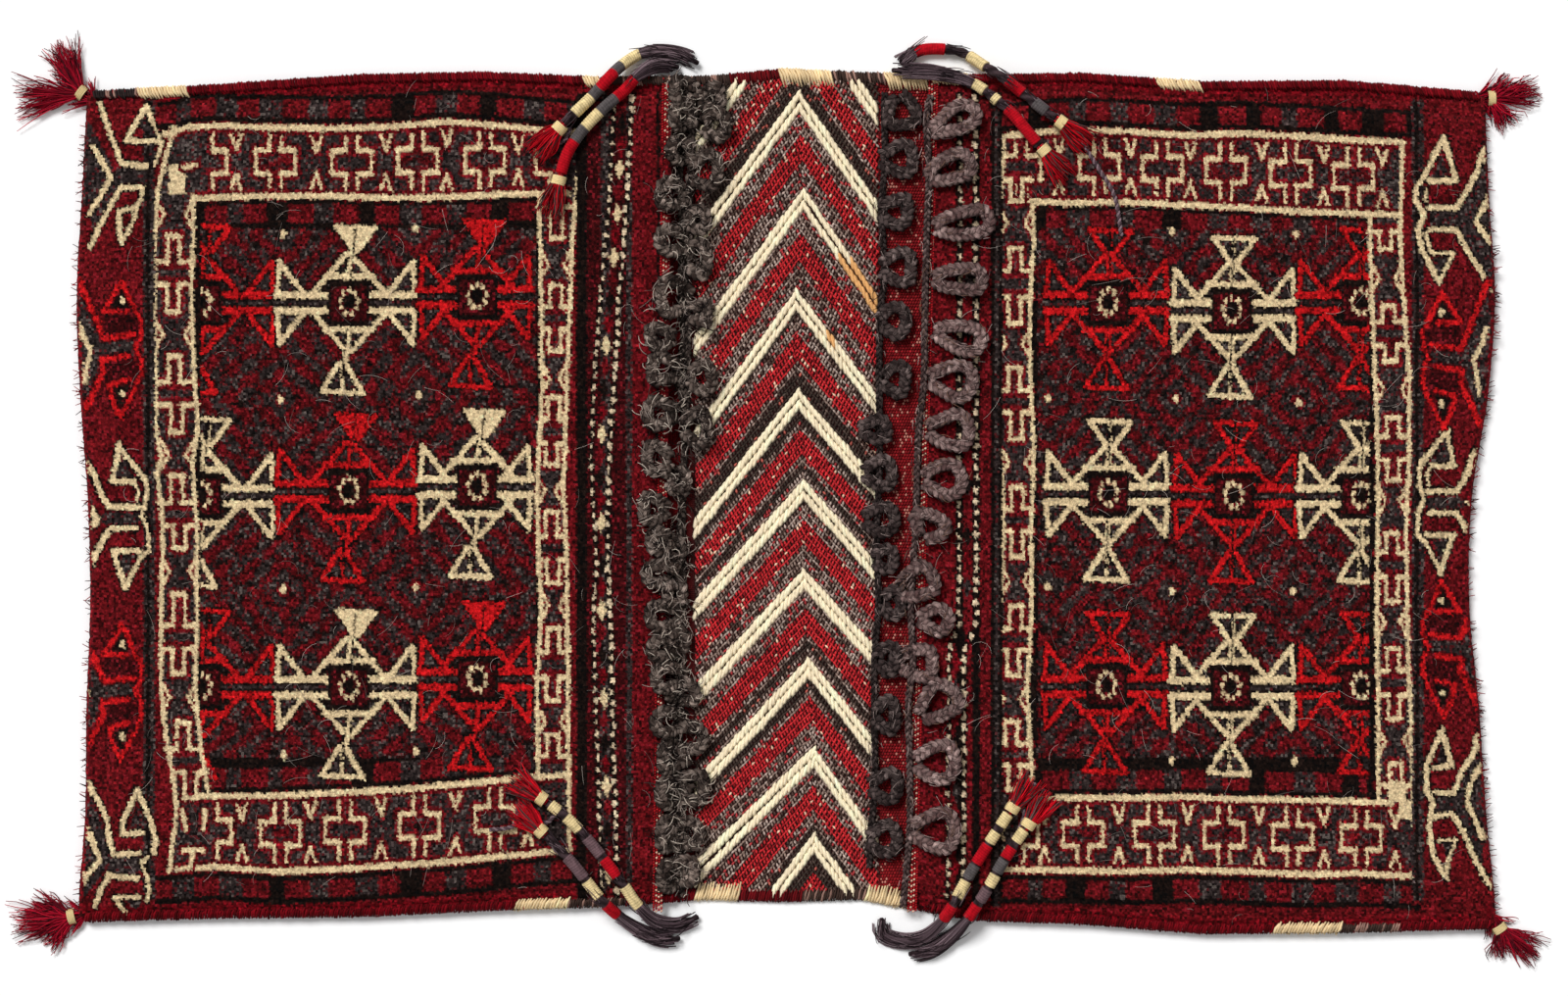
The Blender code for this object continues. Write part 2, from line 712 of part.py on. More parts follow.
def rest_height(x, y, reach):
    """The highest support within reach of a point."""
    around = [(0.0, 0.0)]
    for k in range(8):
        around.append((reach * math.cos(math.pi * k / 4), reach * math.sin(math.pi * k / 4)))
    return max(support(x + dx, y + dy) for dx, dy in around)


def smooth_route(route):
    """Points about CORD_STEP apart on a smooth curve through a cord's own points, laid on what is below."""
    fine = []
    samples = 12 * (len(route) - 1)
    for k in range(samples + 1):
        x = catmull_rom([p[0] for p in route], k / samples)
        y = catmull_rom([p[1] for p in route], k / samples)
        fine.append(Vector((x, y, rest_height(x, y, CORD_DIAMETER / 2) + CORD_DIAMETER / 2 + SEAT)))
    walked = [0.0]
    for start, end in zip(fine, fine[1:]):
        walked.append(walked[-1] + (end - start).xy.length)
    steps = round(walked[-1] / CORD_STEP)
    step = walked[-1] / steps
    line = []
    for k in range(steps + 1):
        nearest = min(range(len(fine)), key=lambda i: abs(walked[i] - step * k))
        line.append(fine[nearest].copy())
    for _ in range(3):
        for place, needed in zip(walked, fine):
            k = min(int(place / step), steps - 1)
            share = place / step - k
            short = needed.z - (line[k].z * (1 - share) + line[k + 1].z * share)
            if short > 0:
                line[k].z += short
                line[k + 1].z += short
    return line


def add_cord(name, route):
    line = smooth_route(route)
    curve = bpy.data.curves.new(name, "CURVE")
    curve.dimensions = "3D"
    curve.bevel_depth = CORD_DIAMETER / 2
    curve.bevel_resolution = 2
    curve.use_fill_caps = True
    spline = curve.splines.new("POLY")
    spline.points.add(len(line) - 1)
    for point, place in zip(spline.points, line):
        point.co = (*place, 1.0)
    curve.materials.append(material("wrapped_hair_cord", HAIR))
    obj = bpy.data.objects.new(name, curve)
    bpy.context.scene.collection.objects.link(obj)
    return line


def add_tassel(name, start, ahead, length, width, height, finish):
    """A bound head and a spreading skirt, laid flat along a direction."""
    along = Vector((ahead.x, ahead.y, 0.0)).normalized()
    across = Vector((-along.y, along.x, 0.0))
    profile = [(0.0, 0.40), (0.10, 0.62), (0.22, 0.45), (0.55, 0.85), (0.88, 1.0), (1.0, 0.45)]
    points = []
    for share, size in profile:
        centre = start + along * (length * share)
        half_height = height / 2 * math.sqrt(size)
        for out, rise in flat_ring(TASSEL_SIDES):
            points.append(centre + across * (width / 2 * size * out) + Vector((0.0, 0.0, half_height * rise)))
    obj = mesh_object(name, points, tube_faces(len(profile), TASSEL_SIDES), finish)
    orient_outward(obj)


def add_cords_and_tassels():
    for name, route in CORD_ROUTES.items():
        line = add_cord(name, route)
        ahead = (line[-1] - line[-2]).normalized()
        start = line[-1] + ahead * SEAT
        middle = start + ahead * TASSEL_LENGTH / 2
        start.z = rest_height(middle.x, middle.y, TASSEL_LENGTH / 2) + TASSEL_HEIGHT / 2 + SEAT
        add_tassel(
            name.replace("cord", "tassel"), start, ahead, TASSEL_LENGTH, TASSEL_WIDTH, TASSEL_HEIGHT,
            material("scarlet_wool", SCARLET),
        )


def add_corner_tufts():
    corners = {
        "tuft_northwest": (-1, 1, (-0.55, 0.83)), "tuft_southwest": (-1, -1, (-0.97, -0.22)),
        "tuft_northeast": (1, 1, (0.93, 0.36)), "tuft_southeast": (1, -1, (0.78, -0.62)),
    }
    for name, (side, north, aim) in corners.items():
        ahead = Vector((*aim, 0.0))
        x = fold_x(north, side)
        y = edge_y(crease_x(north, side), north)
        start = Vector((x, y, SEAT + TUFT_HEIGHT / 2)) + ahead * (2 * SEAT)
        add_tassel(name, start, ahead, TUFT_LENGTH, TUFT_WIDTH, TUFT_HEIGHT, material("madder_wool", MADDER))


def main():
    clear_scene()
    add_woven_cloth()
    add_cream_chevrons()
    add_binding("north_binding", 1)
    add_binding("south_binding", -1)
    add_loop_rows()
    for side, label in ((-1, "west"), (1, "east")):
        add_frame(side, label)
        add_stars(side, label)
    add_cords_and_tassels()
    add_corner_tufts()


main()
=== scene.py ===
"""Looks of the woven saddle bag: pile faces, chevron bridge, braided loops, wrapped cords and tassels.

Everything is in metres in the CAD model's frame. The woven pattern is drawn in its own units, 0.8 mm each,
with x to the east and y to the south. Inks are painted over each other, and each knot of pile takes the ink
that lies under it. A side is -1 for the west pocket and 1 for the east one.
"""

import math

import bpy
import numpy as np
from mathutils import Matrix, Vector


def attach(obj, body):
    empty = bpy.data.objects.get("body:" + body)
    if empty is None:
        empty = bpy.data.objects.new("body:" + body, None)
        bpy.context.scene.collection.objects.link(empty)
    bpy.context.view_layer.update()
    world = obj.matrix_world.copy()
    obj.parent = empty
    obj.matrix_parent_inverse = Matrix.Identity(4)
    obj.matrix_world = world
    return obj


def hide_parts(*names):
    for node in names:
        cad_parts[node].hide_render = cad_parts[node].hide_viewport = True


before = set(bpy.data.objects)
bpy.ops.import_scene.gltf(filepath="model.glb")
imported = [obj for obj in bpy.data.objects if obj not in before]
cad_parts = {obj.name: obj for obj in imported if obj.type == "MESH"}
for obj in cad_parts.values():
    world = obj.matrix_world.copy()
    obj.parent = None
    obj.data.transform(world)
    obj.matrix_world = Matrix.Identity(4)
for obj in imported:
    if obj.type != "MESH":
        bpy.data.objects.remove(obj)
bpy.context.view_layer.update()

# The cloth, as in the CAD model
BAG_LENGTH = 1.149
BAG_WIDTH = 0.690
KILIM = 0.003
PILE = 0.0065
BRIDGE = 0.0048
POCKET_GAP = 0.008
MOUTH_GAP = 0.0055
FOLD_GAP = 0.0036
SEAM_GAP = 0.0006
ROLL = 0.030
MOUTH_NORTH = {-1: -0.092, 1: 0.119}
MOUTH_SOUTH = {-1: -0.100, 1: 0.101}
BRIDGE_WEST = -0.074
BRIDGE_EAST = 0.075
SEAT = 0.0003
FIGURE_RISE = 0.0010
EDGE_KNOTS = (0.062, 0.155, 0.245, 0.345, 0.460)
NORTH_WAVE = (
    -0.017, -0.011, -0.003, -0.001, -0.005, -0.004, 0.002, -0.001, -0.003, -0.002, -0.009, -0.008, -0.018,
)
SOUTH_WAVE = (
    -0.003, -0.006, -0.007, -0.012, -0.015, -0.021, -0.019, -0.021, -0.004, -0.001, 0.007, 0.006, 0.003,
)
WEST_WAVE = (0.004, -0.002, -0.003, -0.006, -0.004, 0.002, 0.005, 0.001, -0.003)
EAST_WAVE = (0.009, 0.001, -0.005, -0.013, -0.011, 0.002, 0.008, 0.003, 0.0)
BINDING_WIDTH = 0.0055
FIGURES_FROM_FOLD = (0.060, 0.400)
FIGURES_HALF_WIDTH = 0.305

# The pattern drawing: the size of its unit, where the bag's middle lies, and how finely it is painted
UNIT = 0.0008
DRAW_X = 801.0
DRAW_Y = 507.0
DRAW_WIDTH = 1600
DRAW_HEIGHT = 1016
CELLS = 2

# The least height of any visible yarn over the floor
FLOOR_CLEAR = 0.0001

# The darkest and palest value that wool may take
WOOL_RANGE = (0.002, 0.92)


def srgb(red, green, blue):
    """A linear colour from display values of 0 to 255."""
    def linear(value):
        value = value / 255
        return value / 12.92 if value <= 0.04045 else ((value + 0.055) / 1.055) ** 2.4

    return (linear(red), linear(green), linear(blue))


INKS = {
    "madder": srgb(96, 14, 19),
    "charcoal": srgb(47, 38, 37),
    "black": srgb(22, 13, 10),
    "cream": srgb(230, 203, 158),
    "scarlet": srgb(194, 22, 26),
    "maroon": srgb(60, 9, 12),
    "crimson": srgb(106, 8, 18),
    "umber": srgb(64, 48, 42),
    "kilim": srgb(116, 24, 26),
    "ivory": srgb(230, 204, 170),
}
INK_NAMES = list(INKS)


def ink_code(name):
    return INK_NAMES.index(name)


def seeded(name, extra=0):
    """Random numbers that belong to a piece's name."""
    return np.random.default_rng(sum(map(ord, name)) + extra)


# Shapes of the cloth, as in part.py


def smooth_step(value):
    value = np.clip(value, 0.0, 1.0)
    return value * value * (3 - 2 * value)


def spline(before, start, end, after, f):
    """A place between start and end on a smooth curve through four values or points."""
    cubic = 3 * (start - end) + after - before
    square = 2 * before - 5 * start + 4 * end - after
    return start + 0.5 * f * (end - before + f * (square + f * cubic))


def catmull_rom(values, share):
    place = max(0.0, min(1.0, share)) * (len(values) - 1)
    i = min(int(place), len(values) - 2)
    after = values[min(i + 2, len(values) - 1)]
    return spline(values[max(i - 1, 0)], values[i], values[i + 1], after, place - i)


def edge_knots():
    east = [*EDGE_KNOTS, BAG_LENGTH / 2]
    return [-x for x in east[::-1]] + [0.0] + east


def edge_y(x, side):
    wave = NORTH_WAVE if side > 0 else SOUTH_WAVE
    return side * (BAG_WIDTH / 2 + np.interp(x, edge_knots(), wave))


def fold_x(t, side):
    wave = WEST_WAVE if side < 0 else EAST_WAVE
    return side * (BAG_LENGTH / 2 + catmull_rom(wave, 0.5 + t / 2))


def mouth_x(t, side):
    return MOUTH_SOUTH[side] + (MOUTH_NORTH[side] - MOUTH_SOUTH[side]) * (0.5 + t / 2)


def fold_half_height():
    return (KILIM + FOLD_GAP + PILE) / 2


def crease_x(t, side):
    return fold_x(t, side) - side * fold_half_height()


def cross_y(x, t):
    return np.where(t > 0, edge_y(x, 1) * t, -edge_y(x, -1) * t)


def pocket_gap(x, t, side):
    along = FOLD_GAP + (POCKET_GAP - FOLD_GAP) * smooth_step(abs(x - crease_x(t, side)) / ROLL)
    by_mouth = MOUTH_GAP + (POCKET_GAP - MOUTH_GAP) * smooth_step(abs(x - mouth_x(t, side)) / ROLL)
    from_seam = (1 - abs(t)) * BAG_WIDTH / 2
    return SEAM_GAP + (np.minimum(along, by_mouth) - SEAM_GAP) * smooth_step(from_seam / ROLL)


def face_height(x, t, side):
    """Height of a pile face's upper side."""
    return KILIM + float(pocket_gap(x, t, side)) + PILE


def inside_edges(x, y, margin):
    """Whether places lie within the bag's two long edges by that margin."""
    return (edge_y(x, -1) + margin < y) & (y < edge_y(x, 1) - margin)


def to_metres(x, y):
    return ((x - DRAW_X) * UNIT, (DRAW_Y - y) * UNIT)


def to_drawing(x, y):
    return (x / UNIT + DRAW_X, DRAW_Y - y / UNIT)


# Lines


def heading(line):
    """Unit vectors along a line."""
    ahead = np.gradient(line, axis=0)
    return ahead / np.maximum(np.linalg.norm(ahead, axis=1), 1e-9)[:, None]


def sideways(ahead):
    """Level unit vectors to the left of the given directions."""
    side = np.stack([-ahead[..., 1], ahead[..., 0], np.zeros(ahead.shape[:-1])], axis=-1)
    return side / np.maximum(np.linalg.norm(side, axis=-1), 1e-9)[..., None]


def level(direction):
    """The unit vector of a direction laid level."""
    flat = np.array([direction[0], direction[1], 0.0])
    return flat / np.linalg.norm(flat)


def walk(line):
    """The distance walked at each point of a line."""
    return np.concatenate([[0.0], np.cumsum(np.linalg.norm(np.diff(line, axis=0), axis=1))])


def curve_through(points, step):
    """Points about a step apart on a smooth curve through the given ones."""
    points = np.asarray(points, dtype=float)
    last = len(points) - 1
    fine = []
    for i in range(last):
        around = (points[max(i - 1, 0)], points[i], points[i + 1], points[min(i + 2, last)])
        fine += [spline(*around, f) for f in np.linspace(0, 1, 12, endpoint=False)]
    fine = np.array(fine + [points[-1]])
    walked = walk(fine)
    places = np.linspace(0, walked[-1], max(4, int(walked[-1] / step)) + 1)
    return np.stack([np.interp(places, walked, fine[:, k]) for k in range(3)], axis=-1)


# Meshes


def link(obj, *nodes):
    """Put a piece in the scene, riding on the one body, and let it stand for CAD nodes."""
    bpy.context.scene.collection.objects.link(obj)
    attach(obj, "root")
    if nodes:
        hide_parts(*nodes)
    return obj


def mesh_piece(name, points, faces, material, corner_colours=None, point_colours=None, uvs=None):
    """A smooth mesh from arrays, clear of the floor. Faces is a list of (n, 4) or (n, 3) arrays."""
    parts = [np.asarray(part, dtype=np.int32) for part in faces if len(part)]
    loops = np.concatenate([part.ravel() for part in parts])
    sizes = np.concatenate([np.full(len(part), part.shape[1], np.int32) for part in parts])
    starts = np.concatenate([[0], np.cumsum(sizes)[:-1]]).astype(np.int32)
    mesh = bpy.data.meshes.new(name)
    mesh.vertices.add(len(points))
    points = np.array(points, dtype=np.float32)
    points[:, 2] = np.maximum(points[:, 2], FLOOR_CLEAR)
    mesh.vertices.foreach_set("co", points.ravel())
    mesh.loops.add(len(loops))
    mesh.loops.foreach_set("vertex_index", loops)
    mesh.polygons.add(len(sizes))
    mesh.polygons.foreach_set("loop_start", starts)
    mesh.polygons.foreach_set("use_smooth", np.full(len(sizes), True))
    mesh.update(calc_edges=True)
    if point_colours is not None:
        corner_colours = np.asarray(point_colours)[loops]
    layer = mesh.color_attributes.new("wool", "FLOAT_COLOR", "CORNER")
    rgba = np.ones((len(loops), 4), np.float32)
    rgba[:, :3] = np.clip(corner_colours, *WOOL_RANGE)
    layer.data.foreach_set("color", rgba.ravel())
    if uvs is not None:
        layer = mesh.uv_layers.new(name="yarn")
        layer.data.foreach_set("uv", np.asarray(uvs, dtype=np.float32)[loops].ravel())
    mesh.materials.append(material)
    return bpy.data.objects.new(name, mesh)


def grid_faces(rows, columns, flip=False):
    """Quads of a grid whose points go row by row."""
    index = np.arange(rows * columns).reshape(rows, columns)
    quads = np.stack([index[:-1, :-1], index[:-1, 1:], index[1:, 1:], index[1:, :-1]], axis=-1).reshape(-1, 4)
    return quads[:, ::-1] if flip else quads


def smooth_noise(x, y, size, seed, octaves=2):
    """Smooth random values about -1 to 1 over a plane, with features of that size."""
    generator = np.random.default_rng(seed)
    total = np.zeros(np.broadcast(x, y).shape)
    weight = 1.0
    for octave in range(octaves):
        for wave in range(7):
            angle = generator.uniform(0, math.pi)
            phase = generator.uniform(0, 2 * math.pi)
            stretch = generator.uniform(0.7, 1.4)
            k = 2 * math.pi / (size * stretch) * 2 ** octave
            total = total + weight * np.sin(k * (x * math.cos(angle) + y * math.sin(angle)) + phase)
        weight *= 0.5
    return total / 4.0


class Yarns:
    """Gathers many small tubes and beads into one mesh with colours and yarn coordinates."""

    def __init__(self):
        self.points = []
        self.quads = []
        self.triangles = []
        self.colours = []
        self.uvs = []
        self.count = 0

    def tube(self, line, radius, colour, sides=5, flat=1.0, under=0.0):
        """A closed tube; radius and colour are one for all, for each ring or point. The last argument paints
        shade on its lower side.
        """
        line = np.asarray(line, dtype=float)
        rings = len(line)
        ahead = heading(line)
        up = np.tile([0.0, 0.0, 1.0], (rings, 1))
        up[abs(ahead[:, 2]) > 0.95] = [1.0, 0.0, 0.0]
        across = np.cross(up, ahead)
        across /= np.linalg.norm(across, axis=1)[:, None]
        lift = np.cross(ahead, across)
        radius = np.asarray(radius, dtype=float)
        radius = radius if radius.ndim == 2 else radius.reshape(-1, 1)
        radius = np.broadcast_to(radius, (rings, sides))[..., None]
        colour = np.asarray(colour, dtype=float)
        colour = colour if colour.ndim == 3 else colour.reshape(-1, 1, 3)
        colour = np.broadcast_to(colour, (rings, sides, 3))
        angle = 2 * math.pi * np.arange(sides) / sides
        ring = line[:, None] + across[:, None] * (np.cos(angle)[:, None] * radius)
        ring = ring + lift[:, None] * (np.sin(angle)[:, None] * radius * flat)
        # Painted shade: each ring is darker on its lower side, by the share given in the last argument
        shade = 1 - under * (0.5 - 0.5 * np.sin(angle))
        walked = walk(line)
        index = self.count + np.arange(rings * sides).reshape(rings, sides)
        after = np.roll(index, -1, axis=1)
        self.quads.append(np.stack([index[:-1], after[:-1], after[1:], index[1:]], axis=-1).reshape(-1, 4))
        centre = self.count + rings * sides
        caps = [(centre, after[0, k], index[0, k]) for k in range(sides)]
        caps += [(centre + 1, index[-1, k], after[-1, k]) for k in range(sides)]
        self.triangles.append(np.array(caps))
        self.points += [ring.reshape(-1, 3), line[[0, -1]]]
        self.colours += [(colour * shade[:, None]).reshape(-1, 3), colour[[0, -1], [0, -1]]]
        around = np.tile(np.arange(sides) / sides, rings)
        self.uvs.append(np.stack([np.repeat(walked, sides), around], axis=-1))
        self.uvs.append(np.array([[walked[0], 0.5], [walked[-1], 0.5]]))
        self.count += rings * sides + 2

    def hairs(self, lines, radius, colours, taper=0.6):
        """Many thin three-sided yarns at once; lines holds the same number of points for each."""
        sides = 3
        lines = np.asarray(lines, dtype=float)
        count, length = lines.shape[:2]
        across = sideways(np.gradient(lines, axis=1))
        size = radius * (1 - (1 - taper) * np.linspace(0, 1, length) ** 2)
        angle = 2 * math.pi * np.arange(sides)[:, None] / sides + math.pi / 2
        turned = across[:, :, None] * np.cos(angle) + np.array([0.0, 0.0, 1.0]) * np.sin(angle)
        ring = lines[:, :, None] + size[None, :, None, None] * turned
        index = self.count + np.arange(count * length * sides).reshape(count, length, sides)
        after = np.roll(index, -1, axis=2)
        quads = np.stack([index[:, :-1], after[:, :-1], after[:, 1:], index[:, 1:]], axis=-1)
        self.quads.append(quads.reshape(-1, 4))
        self.triangles += [index[:, 0, [0, 2, 1]], index[:, -1, [0, 1, 2]]]
        self.points.append(ring.reshape(-1, 3))
        self.colours.append(np.repeat(np.asarray(colours), length * sides, axis=0))
        place = np.tile(np.repeat(np.linspace(0, 0.02, length), sides), count)
        place = place + np.repeat(np.arange(count) * 0.0371, length * sides)
        self.uvs.append(np.stack([place, np.tile(np.arange(sides) / sides, count * length)], axis=-1))
        self.count += count * length * sides

    def beads(self, centres, along, across, up, colours, round_ends=False):
        """Many spindle-shaped stitches at once; their half axes are one vector for all or one for each."""
        stations = ((-0.6, 0.85), (0.0, 1.0), (0.6, 0.85)) if round_ends else ((0.0, 1.0),)
        corners = ((1, 0), (0, 1), (-1, 0), (0, -1))
        template = [(station, a * size, u * size) for station, size in stations for a, u in corners]
        template = np.array(template + [(-1.0, 0.0, 0.0), (1.0, 0.0, 0.0)])
        centres = np.asarray(centres)
        size = len(template)
        count = len(centres)
        axes = [np.broadcast_to(axis, centres.shape)[:, None] for axis in (along, across, up)]
        points = centres[:, None] + sum(template[None, :, k:k + 1] * axes[k] for k in range(3))
        last = 4 * (len(stations) - 1)
        quads = [
            (r * 4 + k, r * 4 + (k + 1) % 4, r * 4 + 4 + (k + 1) % 4, r * 4 + 4 + k)
            for r in range(len(stations) - 1) for k in range(4)
        ]
        triangles = [(size - 2, (k + 1) % 4, k) for k in range(4)]
        triangles += [(size - 1, last + k, last + (k + 1) % 4) for k in range(4)]
        offset = self.count + size * np.arange(count)[:, None, None]
        self.points.append(points.reshape(-1, 3))
        if quads:
            self.quads.append((np.array(quads)[None] + offset).reshape(-1, 4))
        self.triangles.append((np.array(triangles)[None] + offset).reshape(-1, 3))
        self.colours.append(np.repeat(colours, size, axis=0))
        u = np.linalg.norm(axes[0], axis=-1) * template[:, 0] + np.arange(count)[:, None] * 0.0137
        v = np.tile(template[:, 1] * 0.25 + 0.5, (count, 1))
        self.uvs.append(np.stack([u, v], axis=-1).reshape(-1, 2))
        self.count += size * count

    def piece(self, name, material):
        faces = [np.concatenate(self.triangles)]
        if self.quads:
            faces.append(np.concatenate(self.quads))
        return mesh_piece(name, np.concatenate(self.points), faces, material,
                          point_colours=np.concatenate(self.colours), uvs=np.concatenate(self.uvs))


# Materials


class Shading:
    """A material's nodes, with short ways to add to them."""

    def __init__(self, name, roughness, specular):
        self.material = bpy.data.materials.new(name)
        self.material.use_nodes = True
        self.nodes = self.material.node_tree.nodes
        self.shader = self.nodes["Principled BSDF"]
        self.set(self.shader, {"Roughness": roughness, "Specular IOR Level": specular})

    def set(self, node, values):
        for socket, value in values.items():
            node.inputs[socket].default_value = value

    def join(self, source, target):
        self.material.node_tree.links.new(source, target)

    def add(self, kind, values, source=None, target="Vector"):
        """A new node with its sockets set, fed from a source."""
        node = self.nodes.new("ShaderNode" + kind)
        self.set(node, values)
        if source:
            self.join(source, node.inputs[target])
        return node

    def spread(self, source, low, high, start=0.0, end=1.0):
        """A value that runs between start and end, widened to run between low and high."""
        values = {"From Min": start, "From Max": end, "To Min": low, "To Max": high}
        return self.add("MapRange", values, source, "Value").outputs["Result"]

    def times(self, first, second):
        product = self.nodes.new("ShaderNodeMath")
        product.operation = "MULTIPLY"
        self.join(first, product.inputs[0])
        self.join(second, product.inputs[1])
        return product.outputs["Value"]


# Where a noise texture's values lie
NOISE_RANGE = (0.36, 0.64)
# How much finer streaks are across the yarn's coordinates than along them
STREAK_SCALE = (150.0, 10.0, 1.0)


def wool(name, roughness=0.95, streak=0.0, speckle=0.35, grain=900.0, bump=0.35, rib=0.0):
    """Yarn coloured by the wool attribute, with fibre speckle, streaks along the yarn and a fine bump."""
    made = Shading(name, roughness, 0.04)
    made.set(made.shader, {"Sheen Weight": 0.02, "Sheen Roughness": 0.5})
    colour = made.add("Attribute", {})
    colour.attribute_name = "wool"
    place = made.add("TexCoord", {}).outputs["Object"]
    fibre = made.add("TexNoise", {"Scale": grain, "Detail": 5.0, "Roughness": 0.75}, place)
    brightness = made.spread(fibre.outputs["Fac"], 1.0 - speckle, 1.0 + speckle, *NOISE_RANGE)
    if streak:
        yarn = made.add("UVMap", {})
        yarn.uv_map = "yarn"
        stretch = made.add("Mapping", {"Scale": STREAK_SCALE}, yarn.outputs["UV"])
        values = {"Scale": 1.0, "Detail": 4.0, "Roughness": 0.7}
        strand = made.add("TexNoise", values, stretch.outputs["Vector"])
        streaks = made.spread(strand.outputs["Fac"], 1.0 - streak, 1.0 + 1.4 * streak, *NOISE_RANGE)
        brightness = made.times(brightness, streaks)
    for axis in ("X", "Y") if rib else ():
        wave = made.add("TexWave", {"Scale": rib, "Distortion": 0.6}, place)
        wave.bands_direction = axis
        brightness = made.times(brightness, made.spread(wave.outputs["Fac"], 0.72, 1.2))

    scaled = made.nodes.new("ShaderNodeVectorMath")
    scaled.operation = "SCALE"
    made.join(colour.outputs["Color"], scaled.inputs[0])
    made.join(brightness, scaled.inputs["Scale"])
    made.join(scaled.outputs["Vector"], made.shader.inputs["Base Color"])
    relief = made.add("Bump", {"Strength": bump, "Distance": 0.001}, brightness, "Height")
    made.join(relief.outputs["Normal"], made.shader.inputs["Normal"])
    return made.material


def stage_material():
    """The plain pale floor, a little grainy."""
    made = Shading("pale_floor", 0.9, 0.0)
    mottle = made.add("TexNoise", {"Scale": 3.0})
    made.join(made.spread(mottle.outputs["Fac"], 0.985, 0.995), made.shader.inputs["Base Color"])
    return made.material


# Drawing of the woven pattern


class Drawing:
    """Ink codes on a fine canvas, painted over each other."""

    def __init__(self):
        self.cells = np.zeros((DRAW_HEIGHT * CELLS, DRAW_WIDTH * CELLS), np.uint8)

    def window(self, points, margin=0.0):
        points = np.asarray(points, dtype=float)
        low = np.floor((points.min(axis=0) - margin) * CELLS).astype(int)
        high = np.ceil((points.max(axis=0) + margin) * CELLS).astype(int) + 1
        x0, y0 = np.maximum(low, 0)
        x1 = min(high[0], self.cells.shape[1])
        y1 = min(high[1], self.cells.shape[0])
        gx, gy = np.meshgrid((np.arange(x0, x1) + 0.5) / CELLS, (np.arange(y0, y1) + 0.5) / CELLS)
        return self.cells[y0:y1, x0:x1], gx, gy

    def fill(self, points, ink):
        area, gx, gy = self.window(points)
        inside = np.zeros(gx.shape, bool)
        for (ax, ay), (bx, by) in zip(points, points[1:] + points[:1]):
            if ay != by:
                crossing = (ay > gy) != (by > gy)
                inside ^= crossing & (gx < (bx - ax) * (gy - ay) / (by - ay) + ax)
        area[inside] = ink_code(ink)

    def box(self, x0, y0, x1, y1, ink):
        self.fill([(x0, y0), (x1, y0), (x1, y1), (x0, y1)], ink)

    def line(self, points, width, ink):
        for (ax, ay), (bx, by) in zip(points, points[1:]):
            area, gx, gy = self.window([(ax, ay), (bx, by)], width)
            span = max((bx - ax) ** 2 + (by - ay) ** 2, 1e-6)
            share = np.clip(((gx - ax) * (bx - ax) + (gy - ay) * (by - ay)) / span, 0, 1)
            away = np.hypot(gx - ax - share * (bx - ax), gy - ay - share * (by - ay))
            area[away <= width / 2] = ink_code(ink)

    def edged(self, strokes, ink, edge, rim=2.4):
        """Lines of one ink, each given as points and a width, with a dark edge under all of them."""
        for points, width in strokes:
            self.line(points, width + 2 * rim, edge)
        for points, width in strokes:
            self.line(points, width, ink)

    def dot(self, x, y, half_width, half_height, ink):
        area, gx, gy = self.window([(x, y)], max(half_width, half_height) + 1)
        area[((gx - x) / half_width) ** 2 + ((gy - y) / half_height) ** 2 <= 1] = ink_code(ink)


